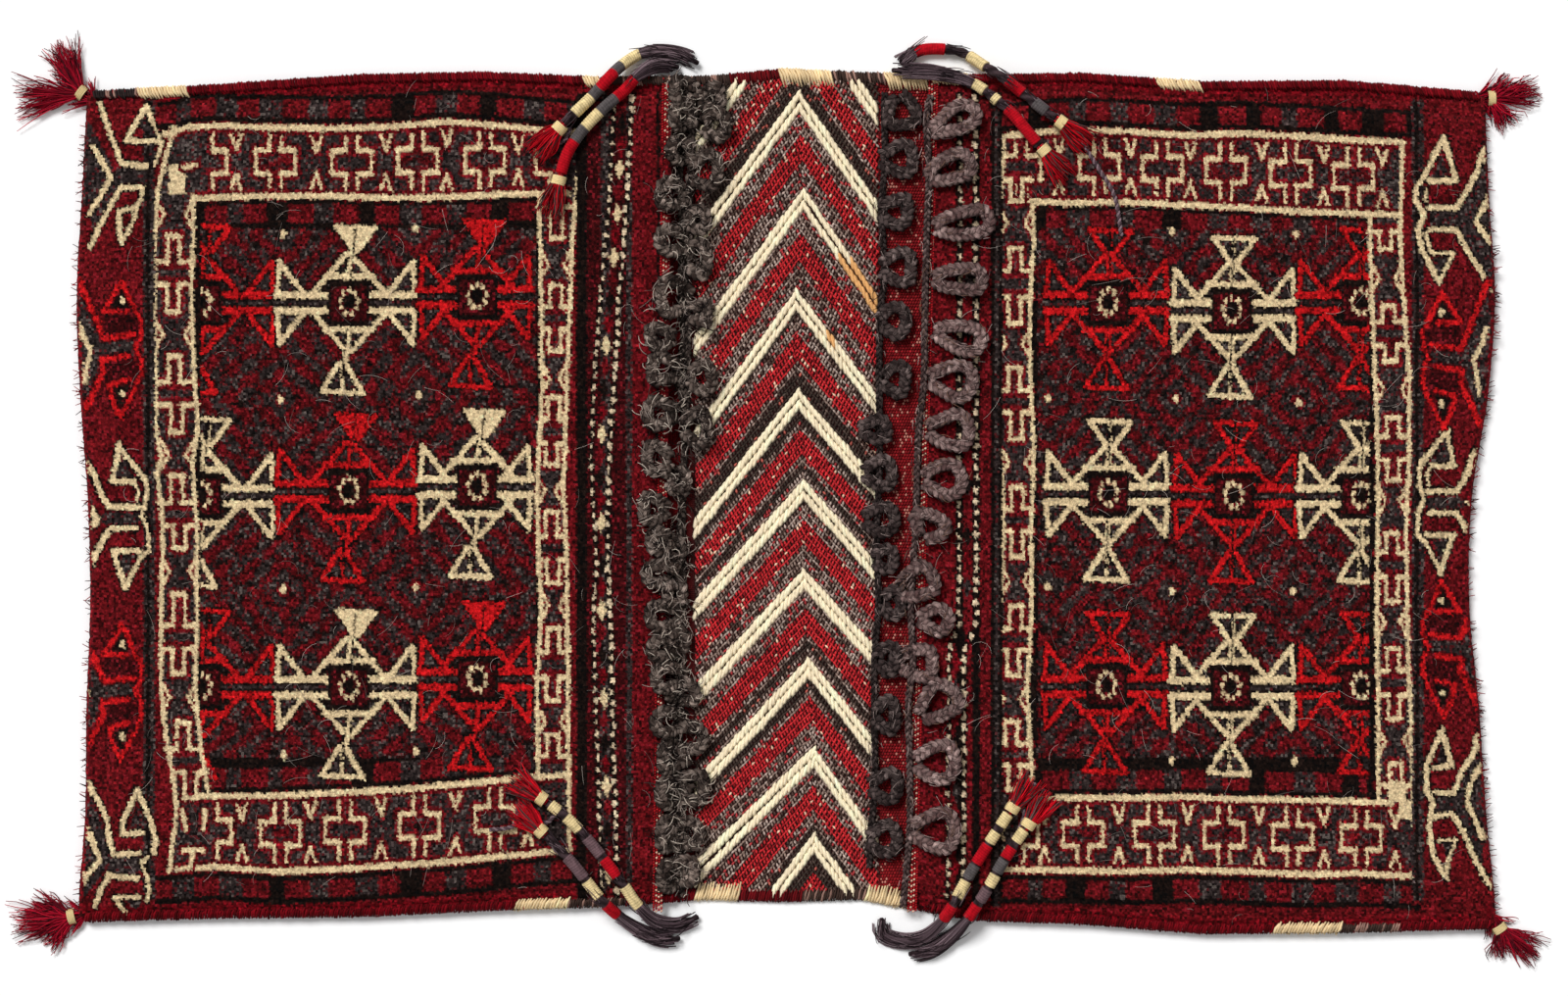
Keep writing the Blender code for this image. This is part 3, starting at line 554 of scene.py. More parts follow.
# The measured run of each border line: (x, y) for lines across the bag, (y, x) for lines up and down
FACE_LINES = {
    -1: {
        "top_outer": [(165, 136), (180, 134), (194, 128), (220, 127), (280, 129), (340, 130), (400, 128),
                      (460, 123), (520, 128), (592, 135)],
        "top_inner": [(198, 202), (220, 200), (280, 199), (340, 199), (400, 201), (460, 200), (520, 197),
                      (582, 196)],
        "bottom_inner": [(205, 811), (280, 811), (340, 808), (400, 805), (460, 800), (520, 794), (582, 789)],
        "bottom_outer": [(174, 887), (220, 883), (280, 888), (340, 886), (400, 882), (460, 878), (520, 872),
                         (582, 866)],
        "outer_a": [(128, 178), (150, 173), (168, 168), (193, 162), (240, 159), (300, 158), (380, 160),
                    (441, 160), (466, 166), (481, 161), (518, 166), (564, 167), (620, 165), (700, 165),
                    (760, 172), (790, 177), (821, 181), (853, 178), (887, 174)],
        "outer_b": [(199, 198), (240, 198), (300, 196), (380, 199), (438, 203), (466, 198), (502, 199),
                    (533, 202), (620, 202), (700, 200), (765, 206), (811, 214)],
        "mouth_a": [(196, 551), (240, 552), (300, 553), (400, 554), (490, 549), (545, 550), (620, 553),
                    (700, 549), (790, 550)],
        "mouth_b": [(135, 594), (150, 593), (240, 585), (300, 583), (400, 579), (500, 576), (560, 579),
                    (640, 580), (866, 582)],
    },
    1: {
        "top_outer": [(1022, 138), (1035, 137), (1090, 131), (1150, 133), (1210, 137), (1270, 135),
                      (1330, 138), (1390, 142), (1432, 144)],
        "top_inner": [(1053, 204), (1090, 206), (1150, 205), (1210, 208), (1270, 211), (1330, 215),
                      (1390, 217), (1428, 218)],
        "bottom_inner": [(1053, 814), (1090, 813), (1150, 813), (1210, 812), (1270, 814), (1330, 815),
                         (1390, 817), (1420, 818)],
        "bottom_outer": [(1022, 886), (1090, 887), (1150, 888), (1210, 886), (1270, 888), (1330, 891),
                         (1390, 890), (1444, 893)],
        "outer_a": [(143, 1432), (240, 1430), (300, 1433), (380, 1439), (460, 1439), (540, 1436),
                    (620, 1437), (700, 1439), (760, 1442), (893, 1445)],
        "outer_b": [(218, 1399), (240, 1399), (300, 1401), (380, 1404), (460, 1407), (540, 1407),
                    (620, 1406), (700, 1407), (760, 1407), (817, 1408)],
        "mouth_a": [(204, 1054), (240, 1056), (300, 1052), (380, 1052), (460, 1056), (540, 1053),
                    (620, 1054), (700, 1049), (814, 1055)],
        "mouth_b": [(138, 1025), (150, 1025), (240, 1020), (300, 1021), (380, 1019), (460, 1022),
                    (540, 1025), (620, 1022), (700, 1018), (760, 1014), (840, 1023), (886, 1022)],
    },
}


def interpolated(points, place):
    return float(np.interp(place, [p[0] for p in points], [p[1] for p in points]))


def along_line(side, name, place):
    return interpolated(FACE_LINES[side][name], place)


def line_points(side, name, offset=0.0):
    """The line's points as (x, y)."""
    points = FACE_LINES[side][name]
    if name.startswith(("top", "bottom")):
        return [(x, y + offset) for x, y in points]
    return [(x + offset, y) for y, x in points]


# Rows of small red and charcoal blocks: the step of their ground, their depth and their rims
CHECKER_STEP = 12
CHECKER_DEPTH = 30
CHECKER_RIMS = (5, 6)


def checker_row(drawing, side, name, offset, x0, x1, generator):
    """Red and charcoal blocks between two black lines, along a border line."""
    def block(start, end, ink, above=0, below=0):
        top = [(x, along_line(side, name, x) + offset + above) for x in (start, end)]
        bottom = [(x, along_line(side, name, x) + offset + CHECKER_DEPTH - below) for x in (end, start)]
        drawing.fill(top + bottom, ink)

    for x in range(x0, x1, CHECKER_STEP):
        block(x, min(x + CHECKER_STEP, x1), "black")
    x = x0 + generator.uniform(2, 8)
    red = True
    while x < x1:
        width = generator.uniform(21, 29) if red else generator.uniform(13, 24)
        after = min(x + width, x1)
        ink = "madder" if red else ("charcoal" if generator.random() < 0.7 else "black")
        block(x, after, ink, *CHECKER_RIMS)
        x = after
        red = not red


# A cartouche's bracket, half its width and height, how far out its stem is, and its dark bar's half height
CARTOUCHE = (20, 12, 6, 4.5)


def cartouche(drawing, x, top, bottom, left, right, dark):
    """Two brackets back to back round a dark bar, with stems to both lines."""
    half, arm, inset, bar = CARTOUCHE
    middle = (top + bottom) / 2
    upper = middle - arm
    lower = middle + arm
    strokes = []
    for sign, shown in ((-1, left), (1, right)):
        stem = x + sign * inset
        far = x + sign * half
        if shown:
            strokes += [
                ([(stem, top), (stem, upper)], 3.0), ([(stem, upper), (far, upper)], 5.0),
                ([(far, upper), (far, lower)], 3.4), ([(far, lower), (stem, lower)], 5.0),
                ([(stem, lower), (stem, bottom)], 3.0),
            ]
    drawing.edged(strokes, "cream", "madder", 4.0)
    drawing.box(x - half + inset, middle - bar, x + half - inset, middle + bar, dark)


def wedges(drawing, x, top, bottom):
    """A thin V under the upper line and its mirror image over the lower one."""
    for tip, base in ((top + 25, top), (bottom - 24, bottom)):
        drawing.fill([(x - 6, base), (x, tip), (x + 6, base)], "madder")
        drawing.edged([([(x - 8, base), (x, tip), (x + 7, base)], 3.0)], "cream", "madder", 3.4)


# Cartouches of the wide borders: their middle, and whether their left and right brackets are there
WIDE_UNITS = {
    (-1, "top"): [(212, False, True), (282, True, True), (360, True, True), (427, True, True),
                  (496, True, True),
                  (568, True, False)],
    (-1, "bottom"): [(217, False, True), (287, True, True), (353, True, True), (429, True, True),
                     (506, True, True)],
    (1, "top"): [(1043, True, True), (1123, True, True), (1187, True, True), (1252, True, True),
                 (1318, True, True), (1382, True, True)],
    (1, "bottom"): [(1040, False, True), (1106, True, True), (1179, True, True), (1250, True, True),
                    (1320, True, True), (1390, True, True)],
}
# Middles of the wedges between them
WEDGES = {
    (-1, "top"): [242, 324, 395, 457, 530],
    (-1, "bottom"): [248, 318, 390, 466, 540],
    (1, "top"): [1082, 1155, 1216, 1289, 1352, 1412],
    (1, "bottom"): [1067, 1143, 1213, 1286, 1352, 1425],
}

# Odd strokes in the west border's two outer corners
CORNER_STROKES = [
    ([(188, 170), (201, 167)], 5.0), ([(188, 866), (208, 866)], 5.0), ([(197, 868), (196, 884),
      (181, 886)], 4.5),
    ([(210, 826), (209, 845)], 4.0), ([(187, 826), (191, 845)], 4.0),
]

# Hooks of the narrow borders: feet and cap heights, then the heights of the diamonds
HOOKS = {
    (-1, "outer"): (
        [(412, 440), (535, 558), (661, 686), (787, 813), (289, 317)],
        [(512, 484), (637, 605), (763, 736), (389, 362), (266, 239)], (463, 582, 711, 340, 218),
    ),
    (-1, "mouth"): (
        [(210, 242), (335, 357), (451, 473), (570, 594), (690, 714)],
        [(312, 290), (427, 404), (546, 521), (664, 640), (770, 748)], (269, 385, 500, 617, 735),
    ),
    (1, "mouth"): (
        [(182, 204), (302, 329), (420, 447), (541, 567), (662, 688), (780, 804)],
        [(275, 252), (397, 374), (518, 496), (640, 617), (758, 735)], (226, 349, 471, 592, 712),
    ),
    (1, "outer"): (
        [(235, 253), (351, 368), (468, 489), (588, 612), (708, 732)],
        [(327, 311), (444, 425), (563, 543), (683, 661), (800, 778)], (283, 396, 510, 634, 755),
    ),
}


def narrow_border(drawing, side, place):
    """Hooks that stand on both lines of a narrow border, open downwards or upwards, and half diamonds."""
    downs, ups, diamonds = HOOKS[(side, place)]
    strokes = []
    for feet, cap in downs + ups:
        left, right = sorted(along_line(side, place + end, (feet + cap) / 2) for end in ("_a", "_b"))
        middle = (left + right) / 2
        sign = 1 if cap > feet else -1
        drawing.box(left + 3, feet - sign * 8, right - 3, feet - sign * 3, "madder")
        for root, stem in ((left, middle - 6), (right, middle + 6)):
            strokes += [([(root, feet), (stem, feet)], 5.0), ([(stem, feet), (stem, cap)], 3.4)]
        strokes.append(([(middle - 6, cap), (middle + 6, cap)], 5.4))
    drawing.edged(strokes, "cream", "madder", 3.6)
    for y in diamonds:
        for name, facing in (("_a", "_b"), ("_b", "_a")):
            x = along_line(side, place + name, y)
            tip = x + math.copysign(8, along_line(side, place + facing, y) - x)
            points = [(x, y - 15), (tip, y), (x, y + 15)]
            drawing.fill(points, "madder")
            drawing.edged([(points, 2.8)], "cream", "madder", 2.0)


# Dots of a star's rosette: how many, the ring's two radii and a dot's two radii
ROSETTE = (9, (9.0, 12.0), (2.0, 3.2))


def star_arm(drawing, place, sign, arm):
    """One arm of a star with its two fins, as strokes to be drawn later."""
    drawing.fill(place([(sign * 20, -13), (sign * arm, -13), (sign * arm, 14), (sign * 20, 14)]), "black")
    strokes = []
    for up in (-1, 1):
        root = (sign * (arm - 30), 8 * up)
        tip = (sign * (arm - 4), 42 * up)
        drawing.fill(place([(sign * arm, 8 * up), tip, root]), "charcoal")
        strokes += [
            (place([(sign * (arm - 2), 8 * up), tip]), 4.6), (place([tip, root]), 5.2),
            (place([(sign * 20, 8 * up), (sign * (arm - 1), 8 * up)]), 7.0),
        ]
        eave = [(sign * 36, 12 * up), (sign * 24, 25 * up), (sign * 11, 40 * up), (sign * 2, 50 * up)]
        drawing.fill(place([(0, 24 * up)] + eave), "charcoal")
        strokes.append((place(eave), 5.0))
    return strokes


def star_flares(drawing, place, ink, reach, solid):
    """The two flares of a star with their stems, as strokes to be drawn later."""
    lean, rise, fall = reach
    strokes = []
    for up, low, high in ((-1, rise - 26, rise), (1, fall - 30, fall)):
        shift = -up * lean
        strokes += [
            (place([(-25, 27 * up), (25, 27 * up)]), 5.5),
            (place([(0, 27 * up), (shift * 0.6, low * up)]), 6.0),
        ]
        flare = place([
            (shift - 3, low * up), (shift - 21, high * up - 1),
            (shift + 21, high * up + 1), (shift + 3, low * up),
        ])
        if solid and up < 0:
            drawing.fill(flare, ink)
            strokes.append((flare + flare[:1], 2.5))
        else:
            drawing.fill(flare, "charcoal")
            strokes += [(flare + flare[:1], 5.0), (place([(shift, low * up), (shift, high * up)]), 3.0)]
    return strokes


def star(drawing, x, y, ink, arms, reach, solid, clip):
    """A star with flares north and south, finned arms west and east, and a ring of dots in a dark block."""
    before = drawing.cells.copy() if clip else None
    lean, rise, _ = reach

    def place(points):
        return [(x + dx, y + dy) for dx, dy in points]

    strokes = []
    for sign, arm in zip((-1, 1), arms):
        strokes += star_arm(drawing, place, sign, arm)
    strokes += star_flares(drawing, place, ink, reach, solid)
    drawing.edged(strokes, ink, "black", 1.8)
    if solid:
        top = [(lean - 3, 26 - rise), (lean - 21, 1 - rise), (lean + 21, -1 - rise), (lean + 3, 26 - rise)]
        drawing.fill(place(top), ink)
    for sign, arm in zip((-1, 1), arms):
        drawing.line(place([(sign * 20, 0), (sign * arm, 0)]), 4.0, "charcoal")
        for up in (-1, 1):
            slit = [(sign * 22, 12.5 * up), (sign * 30, 12.5 * up), (sign * 22, 20 * up)]
            drawing.fill(place(slit), "black")
            drawing.fill(place([(sign * 4, 31 * up), (sign * 12, 31 * up), (sign * 4, 42 * up)]), "charcoal")
    for up in (-1, 1):
        drawing.line(place([(-up * lean * 0.3, 24 * up), (-up * lean, 76 * up)]), 1.8, "black")
    drawing.box(x - 21, y - 23, x + 21, y + 24, "black")
    drawing.box(x - 18, y - 17, x + 18, y + 18, "maroon")
    dots, (ring_x, ring_y), dot_size = ROSETTE
    for k in range(dots):
        angle = 2 * math.pi * k / dots
        drawing.dot(x + ring_x * math.sin(angle), y - 1 - ring_y * math.cos(angle), *dot_size, "cream")
    drawing.dot(x, y - 1, 5.5, 8.0, "black")
    if clip:
        outside = np.ones(drawing.cells.shape[1], bool)
        outside[int(clip[0] * CELLS):int(clip[1] * CELLS)] = False
        drawing.cells[:, outside] = before[:, outside]


# Each star's middle and ink, and how far its arms reach west and east
STARS = {
    -1: [
        (207, 308, "scarlet", 75, 75), (357, 308, "cream", 75, 69), (488, 302, "scarlet", 60, 56),
        (207, 505, "cream", 75, 75), (357, 500, "scarlet", 75, 69), (488, 496, "cream", 60, 56),
        (207, 700, "scarlet", 75, 75), (357, 700, "cream", 75, 69), (488, 692, "scarlet", 60, 56),
    ],
    1: [
        (1132, 308, "scarlet", 65, 62), (1258, 316, "cream", 62, 66), (1390, 308, "scarlet", 65, 65),
        (1132, 503, "cream", 65, 62), (1260, 505, "scarlet", 62, 66), (1390, 505, "cream", 65, 65),
        (1130, 699, "scarlet", 65, 62), (1257, 701, "cream", 62, 66), (1390, 700, "scarlet", 65, 65),
    ],
}
# How far a star's flares lean, rise and fall
STAR_REACH = {-1: (7, 78, 91), 1: (2, 74, 87)}
# Small dots between the stars
BETWEEN_STARS = {
    -1: [(287, 407), (428, 402), (290, 600), (425, 598), (290, 238), (425, 232), (290, 770), (425, 765)],
    1: [(1070, 405), (1201, 405), (1326, 410), (1070, 598), (1197, 602), (1320, 602), (1197, 235),
        (1324, 238), (1197, 775), (1322, 775)],
}
# West and east ends of each field, and of the whole stars' places in it
FIELD = {-1: (206, 548), 1: (1060, 1398)}
WHOLE_STARS = (220, 1380)
STAR_HALF = 90
WEST_FIELD_END = 546


def draw_field(drawing, side):
    left, right = FIELD[side]
    drawing.box(left, 232, right, 772, "umber")
    for x, y in BETWEEN_STARS[side]:
        drawing.dot(x, y, 3, 4.5, "cream")
    for x, y, ink, west, east in STARS[side]:
        cut = not WHOLE_STARS[0] <= x <= WHOLE_STARS[1]
        clip = None
        if cut:
            clip = (left, x + STAR_HALF) if side < 0 else (x - STAR_HALF, right)
        elif side < 0 and x > 480:
            clip = (x - STAR_HALF, WEST_FIELD_END)
        star(drawing, x, y, ink, (west, east), STAR_REACH[side], side < 0 and not cut, clip)


def mirrored(side, middle, inset=0):
    """A way to place points drawn for the west: moved up or down, and mirrored for the east."""
    def place(points, y):
        moved = [(px, py + y - middle) for px, py in points]
        return moved if side < 0 else [(DRAW_WIDTH - px - inset, py) for px, py in moved]

    return place


# The cream figure in the middle of an end border: its middle's height, fields under the lines, the lines with
# their widths, fields over them, and the heights where it stands
END_FIGURE = {
    "middle": 526,
    "under": [
        ("maroon", [(123, 450), (110, 515), (145, 515), (151, 487)]),
        ("charcoal", [(84, 460), (70, 500), (84, 560), (100, 530)]),
    ],
    "lines": [
        ([(81, 453), (95, 480), (104, 505), (112, 516), (143, 516)], 5.4),
        ([(116, 490), (122, 452), (128, 462), (149, 488)], 5.4),
        ([(114, 490), (138, 490)], 5.4),
        ([(149, 488), (151, 496), (150, 510), (146, 524), (152, 541), (153, 561), (144, 568),
          (129, 599)], 4.0),
        ([(139, 492), (143, 500), (140, 510)], 3.0),
        ([(90, 584), (100, 560), (112, 538), (140, 538)], 5.4),
        ([(115, 561), (143, 561)], 5.4),
        ([(116, 562), (129, 599)], 5.4),
        ([(86, 507), (95, 520), (100, 528), (91, 541), (84, 562)], 5.0),
    ],
    "over": [
        ("charcoal", [(118, 485), (124, 462), (138, 486)]),
        ("charcoal", [(104, 522), (143, 522), (143, 533), (104, 533)]),
        ("madder", [(114, 494), (136, 494), (139, 510), (112, 510)]),
        ("madder", [(114, 543), (141, 543), (141, 556), (110, 556)]),
        ("charcoal", [(122, 566), (138, 566), (129, 588)]),
    ],
    "places": {-1: (526,), 1: (510,)},
}
# The hooked scarlet figures beside it, round a dark bar
SCARLET_FIGURE = {
    "middle": 353,
    "under": [
        ("charcoal", [(78, 285), (104, 346), (139, 346), (139, 360), (103, 366), (80, 425), (72, 355)]),
        ("maroon", [(107, 318), (132, 318), (143, 328), (142, 338), (106, 341)]),
        ("maroon", [(106, 368), (136, 364), (144, 378), (130, 384), (108, 388)]),
        ("black", [(125, 292), (111, 314), (135, 314)]),
        ("black", [(116, 393), (134, 390), (124, 416)]),
    ],
    "lines": [
        ([(78, 275), (92, 310), (106, 344), (138, 340)], 5.5),
        ([(131, 317), (106, 317), (125.5, 286), (139, 316)], 5.0),
        ([(139, 316), (145, 326), (144, 344), (139, 353), (145, 366), (145, 379), (140, 393),
          (124, 424)], 4.0),
        ([(132, 362), (104, 366), (106, 377), (81, 432)], 5.5),
        ([(132, 386), (112, 392), (115, 407), (124, 425)], 5.0),
    ],
    "dots": ((126, 306), (126, 400)),
    "bar": ([(80, 322), (84, 340), (92, 355), (89, 369), (87, 389)], 4.5),
    "places": {-1: (353, 703), 1: (364, 659)},
}


def end_figures(drawing, side):
    """The figures of the end border, drawn for the west and mirrored for the east."""
    place = mirrored(side, END_FIGURE["middle"])
    for y in END_FIGURE["places"][side]:
        for ink, points in END_FIGURE["under"]:
            drawing.fill(place(points, y), ink)
        lines = [(place(points, y), width) for points, width in END_FIGURE["lines"]]
        drawing.edged(lines, "cream", "black", 2.0)
        for ink, points in END_FIGURE["over"]:
            drawing.fill(place(points, y), ink)


def scarlet_figures(drawing, side):
    place = mirrored(side, SCARLET_FIGURE["middle"], 2)
    for y in SCARLET_FIGURE["places"][side]:
        for ink, points in SCARLET_FIGURE["under"]:
            drawing.fill(place(points, y), ink)
        lines = [(place(points, y), width) for points, width in SCARLET_FIGURE["lines"]]
        drawing.edged(lines, "scarlet", "maroon", 2.0)
        for spot in place(SCARLET_FIGURE["dots"], y):
            drawing.dot(*spot, 2.4, 4.0, "cream")
        points, width = SCARLET_FIGURE["bar"]
        drawing.edged([(place(points, y), width)], "cream", "charcoal", 2.0)


# The four corner figures of the end borders by side and by north or south: dark fields, thick and thin lines
CORNER_FIGURES = {
    (-1, 1): {
        "dark": [[(90, 120), (126, 190), (96, 236), (86, 200)], [(140, 126), (149, 113), (158, 140)],
                 [(120, 171), (152, 171), (150, 185), (116, 185)]],
        "thick": [[(101, 103), (113, 135), (126, 166), (149, 168)],
                  [(163, 143), (130, 143), (149, 106), (156, 122)],
                  [(95, 148), (114, 180), (91, 217)], [(145, 190), (124, 190), (107, 220), (92, 250)],
                  [(141, 210), (122, 215), (124, 245)]],
        "thin": [[(156, 122), (166, 146), (158, 168)], [(148, 190), (138, 222), (125, 248)]],
    },
    (-1, -1): {
        "dark": [[(90, 806), (116, 870), (104, 892), (86, 915), (82, 850)],
                 [(112, 874), (150, 874), (148, 889), (108, 889)], [(141, 820), (133, 843), (149, 845)],
                 [(126, 919), (143, 919), (140, 930)]],
        "thick": [[(91, 799), (100, 816), (109, 835), (113, 862), (117, 871), (143, 869)],
                  [(146, 848), (126, 850), (126, 839), (141, 804), (154, 835), (160, 855), (158, 869)],
                  [(89, 845), (97, 865), (102, 877), (89, 892), (80, 911)],
                  [(141, 895), (112, 892), (104, 905), (96, 924)],
                  [(141, 915), (116, 915), (131, 937), (148, 938)]],
        "thin": [[(152, 874), (145, 879), (151, 894), (153, 908), (149, 919)]],
    },
    (1, 1): {
        "dark": [[(1523, 150), (1492, 204), (1487, 212), (1460, 214), (1460, 229), (1488, 229), (1524, 292),
                  (1530, 200)], [(1472, 156), (1461, 180), (1480, 180)],
                 [(1463, 261), (1478, 261), (1470, 280)]],
        "thick": [[(1475, 139), (1455, 177), (1446, 191), (1446, 204), (1454, 218), (1448, 233), (1452, 254),
                   (1470, 287)], [(1475, 141), (1487, 183), (1459, 184)],
                  [(1459, 211), (1487, 211), (1496, 198), (1508, 176), (1519, 141)],
                  [(1460, 233), (1487, 233), (1499, 255), (1510, 271), (1523, 293)],
                  [(1523, 183), (1518, 204), (1508, 224), (1521, 244), (1529, 262)]],
        "thin": [[(1456, 192), (1456, 204)], [(1456, 236), (1461, 257), (1484, 257), (1471, 284)]],
    },
    (1, -1): {
        "dark": [[(1512, 756), (1487, 804), (1467, 811), (1466, 829), (1484, 829), (1515, 880), (1516, 800)],
                 [(1473, 756), (1466, 778), (1479, 778)], [(1472, 859), (1484, 859), (1477, 874)]],
        "thick": [[(1473, 743), (1457, 778), (1457, 806), (1463, 818), (1459, 842), (1464, 873), (1477, 895)],
                  [(1473, 745), (1483, 780), (1465, 782)],
                  [(1465, 808), (1485, 808), (1493, 787), (1506, 767), (1512, 741)],
                  [(1466, 832), (1484, 829), (1496, 850), (1504, 870), (1516, 893), (1525, 907)],
                  [(1513, 778), (1501, 803), (1499, 818), (1507, 835), (1514, 854)]],
        "thin": [[(1469, 856), (1488, 856), (1480, 872), (1476, 892)]],
    },
}
# Of each end border: its first and last column, and where its dark strip toward the field starts
END_BORDER = {-1: (60, 158, 147), 1: (1442, 1540, 1442)}


def draw_end_border(drawing, side):
    left, right, strip = END_BORDER[side]
    drawing.box(left, 96, right, 922, "madder")
    drawing.box(strip, 100, strip + 12, 918, "charcoal")
    drawing.box(strip + 3, 100, strip + 7, 918, "black")
    end_figures(drawing, side)
    for north in (-1, 1):
        figure = CORNER_FIGURES[(side, north)]
        for points in figure["dark"]:
            drawing.fill(points, "charcoal")
        lines = [(points, 5.2) for points in figure["thick"]] + [(points, 3.4) for points in figure["thin"]]
        drawing.edged(lines, "cream", "black", 1.8)
    scarlet_figures(drawing, side)
    edge = []
    for y in range(60, 970, 10):
        t = (DRAW_Y - y) * UNIT / (BAG_WIDTH / 2)
        edge.append((DRAW_X + fold_x(max(-1, min(1, t)), side) / UNIT, y))
    rim = [(x - side * 6, y) for x, y in edge] + [(x + side * 30, y) for x, y in edge[::-1]]
    drawing.fill(rim, "crimson")


# Stripes beside each mouth, as (west end, east end, ink), and the run of their two lines of dots as (y, x)
MOUTH_STRIPES = {
    -1: [(589, 606, "black"), (600, 617, "maroon"), (614, 648, "charcoal"), (624, 640, "maroon"),
         (646, 690, "madder"), (671, 674, "black")],
    1: [(948, 976, "madder"), (976, 1002, "black"), (984, 993, "madder"), (1001, 1012, "madder"),
        (1012, 1024, "black"), (1016, 1020, "charcoal")],
}
DOT_LINES = {
    -1: ([(100, 628), (212, 622), (300, 614), (400, 606), (480, 604), (560, 610), (640, 606), (720, 609),
          (870, 614)],
         [(95, 646), (200, 641), (300, 633), (400, 627), (480, 622), (560, 621), (640, 624), (870, 630)]),
    1: ([(60, 981), (300, 981), (640, 979), (660, 970), (920, 968)],
        [(60, 996), (300, 997), (640, 997), (660, 985), (920, 984)]),
}
LOZENGE_STEP = {-1: 22.5, 1: 26.0}
LOZENGE_INKS = ("madder", "black", "crimson", "charcoal")
# Half width and half height of the dots in each line
DOT_SIZES = ((1.5, 3.1), (2.0, 3.6))


def draw_mouth_border(drawing, side, generator):
    """The stripes beside the mouth: dark and red ones, two lines of cream dots and lozenges between them."""
    for x0, x1, ink in MOUTH_STRIPES[side]:
        drawing.box(x0, 92, x1, 925, ink)
    y = 104.0
    k = 0
    while y < 915:
        middle = sum(interpolated(points, y) for points in DOT_LINES[side]) / 2
        pale = side < 0 and (k % 4 == 3 or 180 < y < 260) and k % 2
        drawing.fill([(middle - 5, y), (middle, y - 11), (middle + 5, y), (middle, y + 11)],
                     "cream" if pale else LOZENGE_INKS[k % 4])
        y += LOZENGE_STEP[side]
        k += 1
    for points, (half_width, half_height) in zip(DOT_LINES[side], DOT_SIZES):
        y = 98.0
        while y < 922:
            x = interpolated(points, y)
            drawing.dot(x, y, half_width + 1.6, half_height + 3.4, "black")
            drawing.dot(x + generator.uniform(-0.8, 0.8), y, half_width * generator.uniform(0.8, 1.25),
                        half_height * generator.uniform(0.85, 1.2), "ivory")
            y += generator.uniform(10.4, 12.6)


def draw_edges(drawing, side):
    """The bright crimson of the two seams' outer ridges and of the fold."""
    xs = np.linspace(crease_x(0, side), mouth_x(0, side), 60) * 1.01
    for north in (-1, 1):
        seam = [to_drawing(x, float(edge_y(x, north))) for x in xs]
        rim = [(x, y - 4 * north) for x, y in seam] + [(x, y + 9 * north) for x, y in seam[::-1]]
        drawing.fill(rim, "crimson")
    ts = np.linspace(-1, 1, 40)
    fold = [to_drawing(crease_x(t, side), float(cross_y(crease_x(t, side), t))) for t in ts]
    rim = [(x + side * 40, y) for x, y in fold] + [(x - side * 2, y) for x, y in fold[::-1]]
    drawing.fill(rim, "crimson")


# Columns of each face, of its outer rows of blocks and of its inner ones
FACE_COLUMNS = {-1: (60, 700), 1: (940, 1540)}
OUTER_BLOCKS = {-1: (150, 590), 1: (1015, 1452)}
INNER_BLOCKS = {-1: (208, 546), 1: (1062, 1396)}
# Solid cream patches in the borders' corners
CORNER_PATCHES = {-1: [(173, 166, 190, 197)], 1: [(1418, 796, 1436, 817), (1429, 816, 1447, 834)]}


def draw_wide_border(drawing, side, place):
    """The cartouches and wedges of the border at the top or the bottom."""
    upper = "top_outer" if place == "top" else "bottom_inner"
    lower = "top_inner" if place == "top" else "bottom_outer"
    for k, (x, left, right) in enumerate(WIDE_UNITS[(side, place)]):
        cartouche(drawing, x, along_line(side, upper, x), along_line(side, lower, x), left, right,
                  ("charcoal", "umber")[k % 2])
    for x in WEDGES[(side, place)]:
        wedges(drawing, x, along_line(side, upper, x), along_line(side, lower, x))


def draw_face(drawing, side):
    """The whole pattern of one pocket's face."""
    generator = np.random.default_rng(40 + side)
    west, east = FACE_COLUMNS[side]
    drawing.box(west, 40, east, 975, "madder")
    draw_edges(drawing, side)
    checker_row(drawing, side, "top_outer", -34, *OUTER_BLOCKS[side], generator)
    checker_row(drawing, side, "bottom_outer", 5, *OUTER_BLOCKS[side], generator)
    drawing.fill(line_points(side, "outer_a") + line_points(side, "mouth_b")[::-1], "charcoal")
    drawing.fill(line_points(side, "outer_b") + line_points(side, "mouth_a")[::-1], "black")
    checker_row(drawing, side, "top_inner", 3, *INNER_BLOCKS[side], generator)
    checker_row(drawing, side, "bottom_inner", -33, *INNER_BLOCKS[side], generator)
    draw_field(drawing, side)
    draw_wide_border(drawing, side, "top")
    draw_wide_border(drawing, side, "bottom")
    narrow_border(drawing, side, "outer")
    narrow_border(drawing, side, "mouth")
    for name in ("top_outer", "top_inner", "bottom_inner", "bottom_outer"):
        shift = 5.2 if name in ("top_outer", "bottom_inner") else -5.2
        drawing.line(line_points(side, name), 6.0, "cream")
        drawing.line(line_points(side, name, shift), 4.0, "madder")
    for name in ("outer_a", "outer_b", "mouth_a", "mouth_b"):
        drawing.line(line_points(side, name), 4.2, "cream")
    for patch in CORNER_PATCHES[side]:
        drawing.box(*patch, "cream")
    if side < 0:
        drawing.edged(CORNER_STROKES, "cream", "madder", 3.0)
    draw_end_border(drawing, side)
    draw_mouth_border(drawing, side, generator)


# The pile faces

# Size of a knot, depth of a face from mouth to crease, and steps round the fold
KNOT = 0.00205
FACE_DEPTH = 0.478
FOLD_STEPS = 9
# Width of the ribbed selvedge along the seams, and of a rib in it
SELVEDGE = 0.0165
SELVEDGE_RIB = 0.0066
